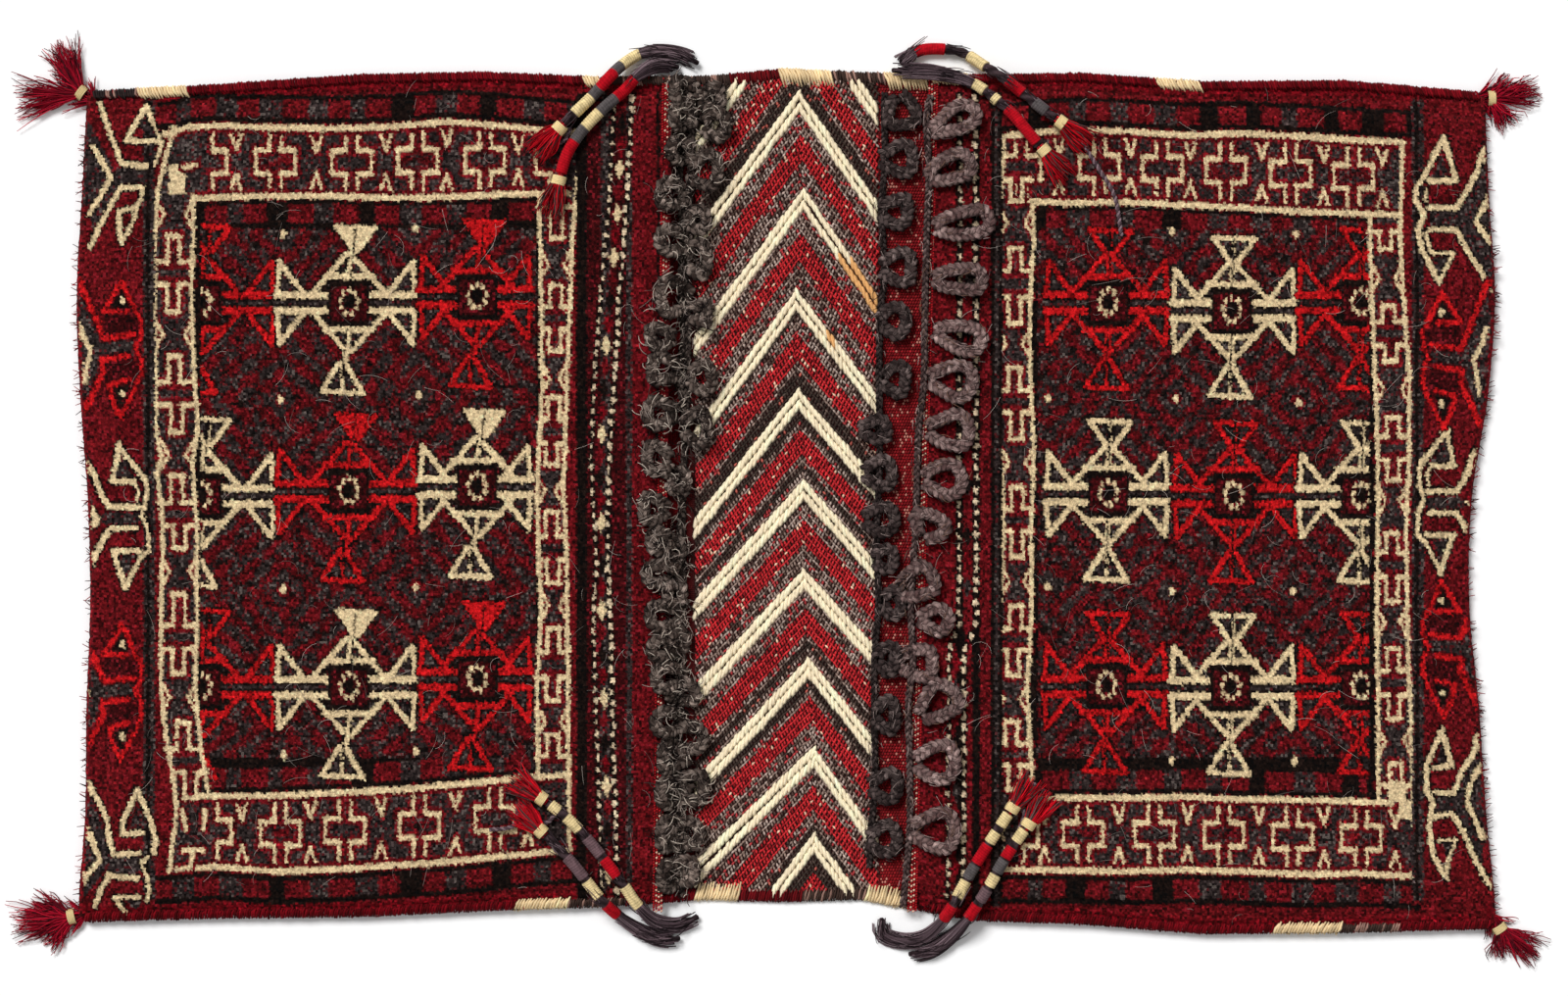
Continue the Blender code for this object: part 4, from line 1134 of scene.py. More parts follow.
# Soft relief of the pile, its knots' scatter up and sideways, and how far colours stray in the drawing
PILE_WAVES = 0.0007
SELVEDGE_LUMPS = 0.0005
RIB_HEIGHT = 0.0014
KNOT_SCATTER = (0.00045, 0.00022)
INK_WANDER = (0.55, 0.35)
# The two outermost rows turn down over the seam: their drop as a share of the pile, and their reach outwards
SKIRT_DROP = (0.0, 0.45, 0.97)
SKIRT_REACH = (0.0, 0.0011, 0.0006)
SKIRT_INSET = (0.0, 0.15, 0.5)


def pile_row(t, side, skirt):
    """A pile face's row of points, from the lip to round the fold, and its places in the drawing."""
    mouth = mouth_x(t, side)
    crease = crease_x(t, side)
    xs = np.linspace(mouth, crease, int(FACE_DEPTH / KNOT) + 1)
    gap = pocket_gap(xs, t, side)
    low = KILIM + gap
    y = cross_y(xs, t)
    from_seam = (1 - abs(t)) * BAG_WIDTH / 2
    z = low + PILE + PILE_WAVES * smooth_noise(xs, y, 0.11, 5 + side)
    if from_seam < SELVEDGE:
        lumps = SELVEDGE_LUMPS * smooth_noise(xs, y, 0.009, 15 + side)
        z = z + RIB_HEIGHT * math.cos(2 * math.pi * from_seam / SELVEDGE_RIB) - 0.0005 + lumps
    z = z - PILE * SKIRT_DROP[skirt]
    y = y + np.sign(t) * SKIRT_REACH[skirt]
    lip_z = [low[0] + 0.0002, low[0] + PILE * 0.35, low[0] + PILE * 0.8]
    if skirt:
        lip_z = [min(value, z[0]) for value in lip_z]
    outer = (KILIM + gap[-1] + PILE) / 2
    full = 1 - SKIRT_INSET[skirt]
    angles = math.pi * np.arange(1, FOLD_STEPS + 1) / FOLD_STEPS
    fold_xs = crease + side * fold_half_height() * full * np.sin(angles)
    fold_z = outer + outer * full * np.cos(angles)
    row_y = np.concatenate([[y[0]] * 3, y, [y[-1]] * FOLD_STEPS])
    row_x = np.concatenate([[mouth, mouth - side * 0.0008, mouth - side * 0.0008], xs, fold_xs])
    arc = crease + side * (np.arange(1, FOLD_STEPS + 1) * 0.0011)
    points = np.stack([row_x, row_y, np.concatenate([lip_z, z, fold_z])], axis=-1)
    return points, np.stack([np.concatenate([[mouth] * 3, xs, arc]), row_y], axis=-1)


def pile_face(drawing, side, label, material):
    """One pocket face of cut pile, from its mouth over the fold to the underside, a quad to each knot."""
    generator = np.random.default_rng(100 + side)
    roll = [-1, -1, *np.linspace(-1, 1, int(BAG_WIDTH / KNOT) + 1), 1, 1]
    skirts = [2, 1] + [0] * (len(roll) - 4) + [1, 2]
    rows = [pile_row(t, side, skirt) for t, skirt in zip(roll, skirts)]
    points = np.array([row[0] for row in rows])
    drawn = np.array([row[1] for row in rows]).reshape(-1, 2)
    inner = points[3:-3, 4:-1]
    inner[..., 2] += generator.normal(0, KNOT_SCATTER[0], inner.shape[:2])
    inner[..., :2] += generator.normal(0, KNOT_SCATTER[1], inner[..., :2].shape)

    quads = grid_faces(*points.shape[:2], flip=side > 0)
    middle = np.repeat(drawn[quads].mean(axis=1), 4, axis=0)
    spots = (drawn[quads.ravel()] + middle) / 2
    wander = np.repeat(generator.normal(0, INK_WANDER[0], (len(quads), 2)), 4, axis=0)
    wander = wander + generator.normal(0, INK_WANDER[1], spots.shape)
    px, py = to_drawing(spots[:, 0], spots[:, 1])
    px = px + wander[:, 0]
    py = py + wander[:, 1]
    column = np.clip((px * CELLS).astype(int), 0, drawing.cells.shape[1] - 1)
    row = np.clip((py * CELLS).astype(int), 0, drawing.cells.shape[0] - 1)
    colours = pile_colours(drawing.cells[row, column], px, py, generator, side)
    return mesh_piece(f"{label}_pile_face", points.reshape(-1, 3), [quads], material, corner_colours=colours)


# The field's lattice: the pitch of its rings, and the sizes of its blots and of its dark spots
FIELD_RING = 27.0
FIELD_BLOT = 24.0
FIELD_SPOT = 15.0


def field_inks(px, py, generator, side):
    """Red, maroon, charcoal and black blots in rings round the small dots between the stars."""
    nearest = np.full(len(px), 1e9)
    for x, y in BETWEEN_STARS[side]:
        nearest = np.minimum(nearest, abs(px - x) + abs(py - y))
    ring = np.cos(2 * math.pi * nearest / FIELD_RING)
    blot = smooth_noise(px, py, FIELD_BLOT, 211 + side, octaves=3)
    spot = smooth_noise(px, py, FIELD_SPOT, 223 + side)
    value = 0.65 * ring + 0.75 * blot + 0.25 * generator.normal(0, 1, len(blot))
    chosen = np.where(value > 0.25, ink_code("madder"), ink_code("maroon"))
    chosen = np.where(value < -0.1, ink_code("charcoal"), chosen)
    return np.where(spot < -0.75, ink_code("black"), chosen)


# Stray fibres: the inks they lie in, the chances between which they show, their colour and its share
FLECKS = (
    (("madder", "maroon"), 0.90, 1.0, srgb(158, 32, 46), 0.5),
    (("charcoal",), 0.90, 1.0, srgb(124, 112, 106), 0.5),
    (("charcoal",), 0.76, 0.88, srgb(104, 18, 26), 0.6),
)
# How much cream, scarlet and other knots differ in brightness
GRAINS = (0.13, 0.26, 0.44)
# The share of knots that lie in shade, and their brightness
SHADED = (0.18, 0.3)


def pile_colours(codes, px, py, generator, side):
    """The colour of each corner of each knot: its ink, how it catches the light, and stray fibres."""
    codes = codes.copy()
    field = codes == ink_code("umber")
    codes[field] = field_inks(px[field], py[field], generator, side)

    def of(*names):
        return np.isin(codes, [ink_code(name) for name in names])

    knots = len(codes) // 4
    each = np.repeat(generator.normal(0, 1, knots), 4)
    fleck = np.repeat(generator.random(knots), 4)
    cream = of("cream", "ivory")
    grain = np.where(cream, GRAINS[0], np.where(of("scarlet"), GRAINS[1], GRAINS[2]))
    gain = np.exp(grain * (0.75 * each + 0.75 * generator.normal(0, 1, len(codes))))
    clump = smooth_noise(px, py, 7.0, 61 + side)
    cloud = smooth_noise(px, py, 60.0, 67 + side)
    gain = gain * np.exp(grain * (0.8 * clump + 0.35 * cloud))
    colours = np.array(list(INKS.values()))[codes] * gain[:, None]
    for inks, start, end, colour, share in FLECKS:
        shown = (fleck > start) & (fleck < end) & of(*inks)
        colours[shown] = colours[shown] * (1 - share) + np.array(colour) * share
    colours[(fleck < SHADED[0]) & ~cream] *= SHADED[1]
    return colours


# The back, the bridge's ground and the pocket linings


def closed_sheet(name, top, bottom, material, paint):
    """A thin closed body between two equal grids of points, coloured by a function of its points."""
    top = np.array(top)
    bottom = np.array(bottom)
    rows, columns = top.shape[:2]
    index = np.arange(rows * columns).reshape(rows, columns)
    rim = np.concatenate([index[:, 0], index[-1, 1:], index[-2::-1, -1], index[0, -2:0:-1]])
    after = np.roll(rim, -1)
    count = rows * columns
    faces = [
        grid_faces(rows, columns), grid_faces(rows, columns, flip=True) + count,
        np.stack([after, rim, rim + count, after + count], axis=-1),
    ]
    points = np.concatenate([top.reshape(-1, 3), bottom.reshape(-1, 3)])
    return mesh_piece(name, points, faces, material, point_colours=paint(points))


SHEET_ROWS = 60
BACK_COLUMNS = 90
LINING_COLUMNS = 46
BRIDGE_GROUND = srgb(46, 22, 21)
LINING_THICKNESS = 0.0012


def woven_back(material):
    """The back of the strip, with the bridge's ground in its middle."""
    generator = np.random.default_rng(17)
    top = []
    bottom = []
    for t in np.linspace(-1, 1, SHEET_ROWS):
        west = crease_x(t, -1) + 0.002
        east = crease_x(t, 1) - 0.002
        xs = (west + east) / 2 + (east - west) / 2 * np.linspace(-1, 1, BACK_COLUMNS)
        y = cross_y(xs, t)
        height = np.where((xs > BRIDGE_WEST) & (xs < BRIDGE_EAST), BRIDGE - 0.0002, KILIM)
        top.append(np.stack([xs, y, height], axis=-1))
        bottom.append(np.stack([xs, y, np.full(len(xs), 0.00015)], axis=-1))

    def paint(points):
        tone = 1 + 0.18 * smooth_noise(points[:, 0], points[:, 1], 0.06, 23, octaves=3)
        tone = tone * np.exp(generator.normal(0, 0.12, len(points)))
        colours = np.array(INKS["kilim"]) * tone[:, None]
        colours[points[:, 2] > KILIM + 0.0005] = BRIDGE_GROUND
        return colours

    return closed_sheet("woven_back", top, bottom, material, paint)


def pocket_lining(side, label, material):
    """The knotless underside of a pile face, seen inside the pocket."""
    top = []
    bottom = []
    for t in np.linspace(-0.995, 0.995, SHEET_ROWS):
        xs = np.linspace(mouth_x(t, side) + side * 0.0004, crease_x(t, side), LINING_COLUMNS)[::side]
        low = KILIM + pocket_gap(xs, t, side)
        y = cross_y(xs, t)
        top.append(np.stack([xs, y, low + LINING_THICKNESS], axis=-1))
        bottom.append(np.stack([xs, y, low], axis=-1))

    def paint(points):
        tone = 1 + 0.2 * smooth_noise(points[:, 0], points[:, 1], 0.04, 29)
        return np.array(INKS["kilim"]) * tone[:, None]

    return closed_sheet(f"{label}_pocket_lining", top, bottom, material, paint)


# The bridge's wraps

# Each chevron's tip, and the slopes of its left and right arm
CHEVRONS = [
    (816.0, 89.3, 1.36, 1.41), (821.6, 188.8, 1.35, 1.48), (814.0, 292.7, 1.37, 1.31),
    (815.3, 394.6, 1.26, 1.16), (821.4, 487.8, 1.10, 1.13), (821.4, 578.8, 1.08, 1.10),
    (826.0, 669.8, 1.08, 1.24), (831.3, 761.2, 0.97, 1.40), (831.3, 849.7, 1.33, 1.32),
]
# The rows of wraps from each chevron to the next, a letter for each row's ink
ROW_WORDS = [
    "CCTTTRRRTKK", "CCTTTRRRTTT", "CCTTTRRRTTT", "CCKTTRRRTKK", "CCKKTRRRTKT", "CCKTTRRRTTT", "CCTTTRRRTKT",
    "CCKKTRRRTTT", "CCTTTRRRTTK", "CCKKKRRRRRR",
]
ROWS_EACH = 11
# Wraps of cream and of the other inks: width, half length, lift, thickness and overlap
LONG_WRAP = (4.0, 8.2, 0.0009, 0.0013, 0.64)
FINE_WRAP = (2.6, 3.5, 0.0003, 0.0010, 0.56)
# How far a row of wraps lies under its line, and how wraps lean: long ones, and fine ones in herringbone
ROW_DROPS = (5.4, 8.4, 2.1)
LEANS = (0.30, 0.75, -0.30)
# The bridge's west and east ends in the drawing
BRIDGE_SPAN = (711.0, 898)
WRAP_INKS = {
    "C": srgb(246, 228, 194), "T": srgb(142, 119, 108), "R": srgb(196, 45, 50), "K": srgb(62, 50, 44),
}
# Odd yarns in the rows: a chance up to which each colour shows
ODD_WRAPS = {
    "C": (),
    "R": ((0.05, srgb(232, 188, 160)), (0.22, srgb(140, 26, 32))),
    "T": ((0.15, srgb(172, 60, 62)), (0.36, srgb(80, 60, 53)), (0.60, srgb(178, 157, 146))),
    "K": ((0.05, srgb(180, 92, 80)), (0.25, srgb(92, 76, 68))),
}
# A stained stretch of cream wraps: its top, bottom and west end, and its colour
STAIN = (262, 350, 850, srgb(224, 168, 108))


def wrap_colour(letter, generator):
    """A wrap's colour: its row's ink with some lighter, darker and strayed yarns."""
    chance = generator.random()
    colour = next((odd for limit, odd in ODD_WRAPS[letter] if chance < limit), WRAP_INKS[letter])
    return np.array(colour) * math.exp(generator.normal(0, 0.06 if letter == "C" else 0.13))


def chevron_at(place):
    """The tip and the two slopes of the line at a place, counted in chevrons from 1."""
    table = np.array(CHEVRONS)
    count = len(CHEVRONS)
    clamped = np.clip(place, 1, count)
    x, y, left, right = [np.interp(clamped, np.arange(count) + 1, table[:, k]) for k in range(4)]
    if place < 1:
        y += (place - 1) * (table[1, 1] - table[0, 1])
    if place > count:
        y += (place - count) * (table[-1, 1] - table[-2, 1])
    return x, y, left, right


def bridge_wraps(material):
    """Slanted weft wraps that follow the chevrons: long cream ones, and fine ones in herringbone."""
    generator = np.random.default_rng(31)
    wraps = {True: [], False: []}
    for half_step in range(-36, 2 * (ROWS_EACH * 10 + 4)):
        step = half_step // 2
        odd = half_step % 2
        apex_x, apex_y, left, right = chevron_at(half_step / (2 * ROWS_EACH) + 1)
        letter = ROW_WORDS[int(np.clip(math.floor(step / ROWS_EACH + 1), 0, 9))][step % ROWS_EACH]
        long_wrap = letter == "C"
        if long_wrap and odd:
            continue
        width, half_length, _, _, overlap = LONG_WRAP if long_wrap else FINE_WRAP
        lean = LEANS[0] if long_wrap else (LEANS[1] if odd else LEANS[2])
        drop = ROW_DROPS[step % ROWS_EACH] if long_wrap else ROW_DROPS[2]
        x = BRIDGE_SPAN[0] + (width / 2 if odd else 0.0)
        while x < BRIDGE_SPAN[1]:
            arm = -1 if x < apex_x else 1
            slope = left if arm < 0 else right
            y = apex_y + slope * abs(x - apex_x) + drop + generator.normal(0, 0.35)
            mx, my = to_metres(x + generator.normal(0, 0.2), y)
            x += width
            if not inside_edges(mx, my, 0.003):
                continue
            tilt = -arm * lean + generator.normal(0, 0.07)
            colour = wrap_colour(letter, generator)
            if long_wrap and STAIN[0] < y < STAIN[1] and x > STAIN[2]:
                colour = np.array(STAIN[3])
            wraps[long_wrap].append((mx, my, tilt, half_length * UNIT, width * UNIT * overlap, *colour))
    yarns = Yarns()
    for long_wrap, made in wraps.items():
        mx, my, tilt, length, half, *colour = np.array(made).T
        _, _, lift, thick, _ = LONG_WRAP if long_wrap else FINE_WRAP
        flat = np.zeros(len(made))
        height = BRIDGE + lift + generator.uniform(0, 0.0002, len(made))
        along = np.stack([np.sin(tilt) * length, np.cos(tilt) * length, flat], axis=-1)
        across = np.stack([np.cos(tilt) * half, -np.sin(tilt) * half, flat], axis=-1)
        yarns.beads(np.stack([mx, my, height], axis=-1), along, across, [0.0, 0.0, thick],
                    np.stack(colour, axis=-1), round_ends=long_wrap)
    return yarns.piece("bridge_wraps", material)


# Edge bindings

# Where each run of one ink starts along the north and the south edge
BINDING_RUNS = {
    1: [(60, "crimson"), (93, "charcoal"), (138, "cream"), (190, "crimson"), (595, "cream"), (612, "umber"),
        (745, "madder"), (795, "cream"), (850, "umber"), (905, "cream"), (990, "crimson"), (1180, "cream"),
        (1225, "crimson")],
    -1: [(60, "crimson"), (525, "cream"), (580, "umber"), (640, "crimson"), (710, "cream"), (755, "madder"),
         (820, "umber"), (885, "cream"), (925, "crimson"), (1300, "cream"), (1370, "umber"),
         (1430, "crimson"),
         (1490, "crimson")],
}
# Stitches of cream and of the other inks: reach over the bridge and over the faces, slant, thickness and step
PALE_STITCH = (0.0085, 0.0040, 0.0040, 0.00135, 0.0024)
DARK_STITCH = (0.0050, 0.0022, 0.0020, 0.00110, 0.0020)
ODD_STITCH = srgb(150, 116, 104)


def edge_thickness(x):
    if MOUTH_NORTH[-1] < x < MOUTH_NORTH[1]:
        return BRIDGE
    return KILIM + SEAM_GAP + PILE


def edge_binding(side, label, material):
    """Overcast stitches round one long edge: long slanted cream ones, short ones elsewhere."""
    generator = np.random.default_rng(70 + side)
    yarns = Yarns()
    x = crease_x(side, -1)
    while x < crease_x(side, 1):
        drawn = max(to_drawing(x, 0)[0], 61)
        name = [ink for start, ink in BINDING_RUNS[side] if start <= drawn][-1]
        height = edge_thickness(x)
        y = float(edge_y(x, side))
        over_bridge, over_face, slant, thick, step = PALE_STITCH if name == "cream" else DARK_STITCH
        reach = (over_bridge if height == BRIDGE else over_face) + generator.uniform(-0.0008, 0.0012)
        out = y + side * (2 * SEAT + BINDING_WIDTH * 0.8)
        line = np.array([
            (x + slant, y - side * reach, height + 0.0004), (x + slant * 0.4, y, height + 0.0013),
            (x, out - side * 0.0012, height * 0.86), (x - slant * 0.2, out, height * 0.5),
            (x - slant * 0.4, out - side * 0.0014, height * 0.12),
            (x - slant * 0.6, y - side * 0.001, 0.0012),
        ])
        ink = np.array(INKS[name])
        if name in ("madder", "crimson"):
            ink = ink * generator.choice([0.6, 1.0, 1.3])
        if name in ("umber", "charcoal") and generator.random() < 0.3:
            ink = np.array(ODD_STITCH)
        jitter = generator.normal(0, 0.0003, line.shape)
        jitter[:, 2] = 0
        colour = ink * math.exp(generator.normal(0, 0.14))
        yarns.tube(line + jitter, thick * np.array([0.5, 1, 1, 1, 1, 0.7]), colour, sides=4)
        x += step
    return yarns.piece(f"{label}_overcasting", material)


# Braided loops

# Each loop's middle, width, height and tilt in the drawing; where its row's stem runs at the north and at the
# south; which way its loops point; the stem's ends and the look of its hair
LOOP_ROWS = {
    "west_front_loops": {
        "loops": [(700, 92, 36, 38, 0), (699, 118, 36, 36, 0), (697, 152, 36, 36, 0), (688, 198, 40, 40, 0),
                  (689, 244, 42, 38, 0), (690, 302, 44, 50, 0), (676, 343, 38, 36, 0), (680, 376, 44, 38, 0),
                  (676, 421, 42, 40, 0), (673, 467, 38, 40, 0), (669, 518, 38, 40, 0), (676, 551, 38, 34, 0),
                  (678, 584, 44, 34, 0), (681, 627, 48, 36, 0), (680, 660, 42, 34, 0), (685, 690, 44, 36, 0),
                  (684, 735, 40, 38, 0), (690, 772, 42, 36, 0), (690, 808, 46, 40, 0), (688, 850, 40, 44, 0),
                  (690, 893, 40, 40, 0)],
        "base": (696, 696), "side": -1, "ends": (76, 915), "look": "dark",
    },
    "west_bridge_loops": {
        "loops": [(726, 98, 36, 36, 0), (731, 126, 36, 42, 0), (719, 172, 42, 50, 0), (711, 223, 36, 36, 0),
                  (712, 264, 36, 48, 0), (716, 318, 30, 36, 0), (716, 384, 36, 44, 0), (710, 435, 38, 50, 0),
                  (692, 490, 32, 36, 0), (687, 560, 32, 34, 0), (688, 605, 32, 36, 0), (690, 652, 34, 34, 0),
                  (697, 706, 40, 34, 0), (700, 752, 50, 38, 0), (702, 803, 52, 40, 0), (698, 850, 44, 40, 0),
                  (698, 888, 40, 36, 0)],
        "base": (704, 694), "side": 1, "ends": (90, 905), "look": "dark",
    },
    "east_bridge_loops": {
        "loops": [(921, 111, 46, 46, -80), (918, 160, 46, 46, 0), (915, 214, 42, 44, 0),
                  (917, 272, 44, 46, 0),
                  (912, 326, 40, 44, 0), (914, 386, 38, 44, 0), (893, 437, 42, 34, 0), (898, 482, 44, 44, 0),
                  (899, 529, 44, 42, 0), (904, 570, 34, 36, 0), (912, 613, 32, 42, 0), (906, 672, 32, 44, 0),
                  (906, 729, 34, 48, 0), (904, 802, 40, 45, 0), (902, 855, 42, 43, 0)],
        "base": (904, 890), "side": 1, "ends": (92, 885), "look": "black",
    },
    "east_front_loops": {
        "loops": [(975, 122, 62, 37, 25), (970, 172, 58, 40, 22), (984, 227, 68, 40, 8),
                  (979, 284, 62, 39, 0),
                  (979, 343, 62, 40, -12), (972, 388, 56, 48, -5), (970, 438, 54, 46, 0),
                  (964, 488, 50, 46, 0),
                  (948, 537, 38, 50, 60), (936, 594, 50, 45, 30), (955, 631, 44, 38, 0),
                  (936, 675, 50, 44, 0),
                  (958, 716, 54, 48, 40), (956, 776, 52, 50, 0), (954, 846, 56, 52, 0)],
        "base": (950, 924), "side": 1, "ends": (96, 925), "look": "lavender",
    },
}
# A loop's plait: places along and across it, and how high each lies
LOOP_SHAPE = [
    (-1.08, 0.22, 0.2), (-0.55, 0.62, 0.7), (0.15, 0.95, 1.0), (0.75, 0.85, 1.0), (1.0, 0.0, 0.9),
    (0.75, -0.85, 1.0), (0.15, -0.95, 1.0), (-0.55, -0.62, 0.7), (-1.08, -0.22, 0.2),
]
# The plait's ink, the ink of its pale hairs, and its loose hairs: how many a metre, how wild, how long at
# most, how thick, how high over the plait's line, how far beside it, and in which tones
LOOP_LOOKS = {
    "dark": {
        "ink": srgb(60, 48, 43), "pale": srgb(180, 160, 148), "hairs": 620, "wild": 0.8, "reach": 0.016,
        "thick": 0.00044, "crown": 0.0042, "cover": 0.0068, "shrink": 1.0,
        "tones": [srgb(18, 12, 10), srgb(74, 61, 56), srgb(172, 156, 146), srgb(226, 210, 194),
        srgb(30, 22, 22)],
    },
    "black": {
        "ink": srgb(52, 40, 39), "pale": srgb(134, 116, 112), "hairs": 300, "wild": 0.35, "reach": 0.012,
        "thick": 0.00034, "crown": 0.0044, "cover": 0.0060, "shrink": 1.0,
        "tones": [srgb(24, 17, 16), srgb(80, 68, 66), srgb(168, 148, 142), srgb(40, 30, 30)],
    },
    "lavender": {
        "ink": srgb(94, 70, 68), "pale": srgb(188, 160, 154), "hairs": 320, "wild": 0.30, "reach": 0.012,
        "thick": 0.00032, "crown": 0.0044, "cover": 0.0060, "shrink": 1.04,
        "tones": [srgb(42, 28, 28), srgb(104, 82, 82), srgb(200, 174, 168), srgb(138, 104, 86)],
    },
    "core": {
        "hairs": 700, "wild": 0.12, "reach": 0.024, "thick": 0.00048, "crown": 0.0044, "cover": 0.0050,
        "tones": [srgb(40, 30, 34), srgb(76, 60, 65), srgb(120, 100, 106), srgb(56, 44, 48)],
    },
}
BRAID_STRAND = 0.0024
BRAID_SWING = 0.0036
BRAID_RISE = 0.0016
BRAID_PERIOD = 0.0150
BRAID_STEP = 0.0020
LOOP_LIFT = 0.0042
STEM_LIFT = 0.0030
STEM_SHRINK = 0.55
HAIR_STEPS = 5


def cloth_top(x, y):
    """Height of the cloth's upper side at a place."""
    t = y / abs(float(edge_y(x, 1 if y > 0 else -1)))
    t = max(-1.0, min(1.0, t))
    for side in (-1, 1):
        if side * (x - mouth_x(t, side)) > 0:
            return face_height(x, t, side)
    if BRIDGE_WEST < x < BRIDGE_EAST:
        return BRIDGE + 0.0012
    return KILIM


def braid(yarns, line, generator, ink, pale, shrink=1.0):
    """A flat three-strand plait along a line, with painted shade: a strand is darker where it dives under the
    next and on its lower side.
    """
    across = sideways(heading(line))
    walked = walk(line)
    start = generator.uniform(0, 1)
    for strand in range(3):
        phase = 2 * math.pi * (walked / BRAID_PERIOD + strand / 3 + start)
        over = np.sin(2 * phase)
        path = line + across * (BRAID_SWING * shrink * np.sin(phase))[:, None]
        path[:, 2] += BRAID_RISE * over
        # Painted shade: a strand is darkened where it dives under the next and left light where it lies on
        # top
        dive_shade = (0.07 + 1.1 * (0.5 + 0.5 * over) ** 1.2)[:, None]
        mix = np.clip(0.35 + 0.35 * generator.normal(0, 1, (len(line), 1)), 0, 1)
        mix = mix * (0.4 + 0.6 * generator.random())
        colour = (np.array(ink) * (1 - mix) + np.array(pale) * mix) * dive_shade
        yarns.tube(path, BRAID_STRAND * shrink, colour, flat=0.85, under=0.8)


def laid_line(drawn):
    """A curve over the cloth through places of the drawing, each with its lift as a share of a loop's."""
    points = []
    for x, y, lift in drawn:
        mx, my = to_metres(x, y)
        rest = max(cloth_top(mx + dx, my) for dx in (-0.005, 0.0, 0.005))
        points.append((mx, my, rest + STEM_LIFT + LOOP_LIFT * lift))
    return curve_through(points, BRAID_STEP)


def loop_row(name, material):
    """A row of closure loops: a plaited stem along the mouth, and a plaited loop from it at each place."""
    row = LOOP_ROWS[name]
    generator = seeded(name, 1)
    look = LOOP_LOOKS[row["look"]]
    ink = np.array(look["ink"])
    pale = np.array(look["pale"])
    yarns = Yarns()
    places = [row["ends"][0]] + [loop[1] for loop in row["loops"]] + [row["ends"][1]]
    middles = [float(np.interp(y, row["ends"], row["base"])) for y in places]
    line = laid_line([(x + generator.uniform(-3, 3), y, 0.0) for x, y in zip(middles, places)])
    braid(yarns, line, generator, ink * 0.5, pale * 0.6, STEM_SHRINK)
    lay_hairs(yarns, line, generator, look)
    for x, y, width, height, tilt in row["loops"]:
        a = width / 2 - 7.0
        b = max(height / 2 - 7.2, 5.5)
        turn = math.radians(tilt)
        drawn = []
        for along, across, lift in LOOP_SHAPE:
            dx = along * a + generator.normal(0, 0.9)
            dy = across * b + generator.normal(0, 0.9)
            rx = dx * math.cos(turn) + dy * math.sin(turn)
            ry = -dx * math.sin(turn) + dy * math.cos(turn)
            drawn.append((x + row["side"] * rx, y + ry, lift))
        line = laid_line(drawn)
        tone = math.exp(generator.normal(0, 0.12))
        braid(yarns, line, generator, ink * tone, pale * tone, look["shrink"])
        lay_hairs(yarns, line, generator, look)
    return yarns.piece(name + "_braid", material)


def lay_hairs(yarns, line, generator, look):
    """Loose hairs that curl over a plait or a cord."""
    count = int(look["hairs"] * walk(line)[-1])
    at = generator.integers(1, len(line) - 1, count)
    ahead = np.gradient(line, axis=0)[at]
    aim = np.arctan2(ahead[:, 1], ahead[:, 0]) + generator.normal(0, look["wild"], count)
    curl = generator.normal(0, 2.0 * look["wild"], count)
    reach = generator.uniform(0.006, look["reach"], count)
    offset = generator.uniform(-1, 1, count)
    crown = look["crown"] * (1 - 0.75 * offset ** 2)
    points = np.zeros((count, HAIR_STEPS, 3))
    place = line[at, :2] + sideways(ahead)[:, :2] * (offset * look["cover"])[:, None]
    for k in range(HAIR_STEPS):
        share = k / (HAIR_STEPS - 1)
        points[:, k, :2] = place
        points[:, k, 2] = line[at, 2] + crown + 0.0009 * math.sin(math.pi * share)
        angle = aim + curl * (share - 0.5)
        place = place + np.stack([np.cos(angle), np.sin(angle)], axis=-1) * (reach / HAIR_STEPS)[:, None]
    tone = generator.choice(len(look["tones"]), count)
    yarns.hairs(points, look["thick"], np.array(look["tones"])[tone])


# Cords, tassels and tufts

# Wrapped cords, with the CAD model's routes in mm
CORD_DIAMETER = 0.0085
CORD_STEP = 0.018
TASSEL_LENGTH = 0.036
CORD_ROUTES = {
    "cord_northwest_upper": [
        (-70, 356), (-80, 362), (-95, 366), (-112, 365.5), (-126, 360), (-137, 349), (-147, 338),
        (-157, 327), (-168, 316), (-179, 305),
    ],
    "cord_northwest_lower": [
        (-86, 353), (-98, 355.5), (-109, 352), (-121, 343), (-130, 333), (-140, 324), (-151, 314),
        (-162, 302), (-172, 289), (-179, 275), (-182, 264),
    ],
    "cord_northeast_upper": [
        (95, 356), (102, 363), (113, 367), (130, 368), (145, 365.5), (157, 358), (169, 349), (182, 340),
        (195, 330), (208, 319), (221, 309),
    ],
    "cord_northeast_lower": [
        (88, 350), (102, 349), (118, 348), (134, 345), (150, 341), (164, 332), (176, 322), (188, 311),
        (198, 299), (208, 287),
    ],
    "cord_southwest_upper": [
        (-70, -343), (-81, -349), (-96, -350), (-109, -344), (-119, -333), (-128, -320), (-137, -307),
        (-147, -294), (-158, -281), (-169, -268), (-181, -257), (-193, -248),
    ],
    "cord_southwest_lower": [
        (-85, -361), (-100, -362), (-115, -356), (-129, -347), (-141, -336), (-152, -324), (-162, -311),
        (-172, -298), (-183, -286), (-194, -275),
    ],
    "cord_southeast_upper": [
        (80, -344), (76, -352), (86, -360), (100, -363.5), (113, -361), (124, -352), (133, -339),
        (141, -325), (149, -311), (157, -297), (166, -283), (175, -269), (183, -257),
    ],
    "cord_southeast_lower": [
        (102, -374), (118, -372), (132, -364), (143, -352), (153, -339), (162, -325), (170, -311),
        (178, -297), (187, -283), (196, -270),
    ],
}
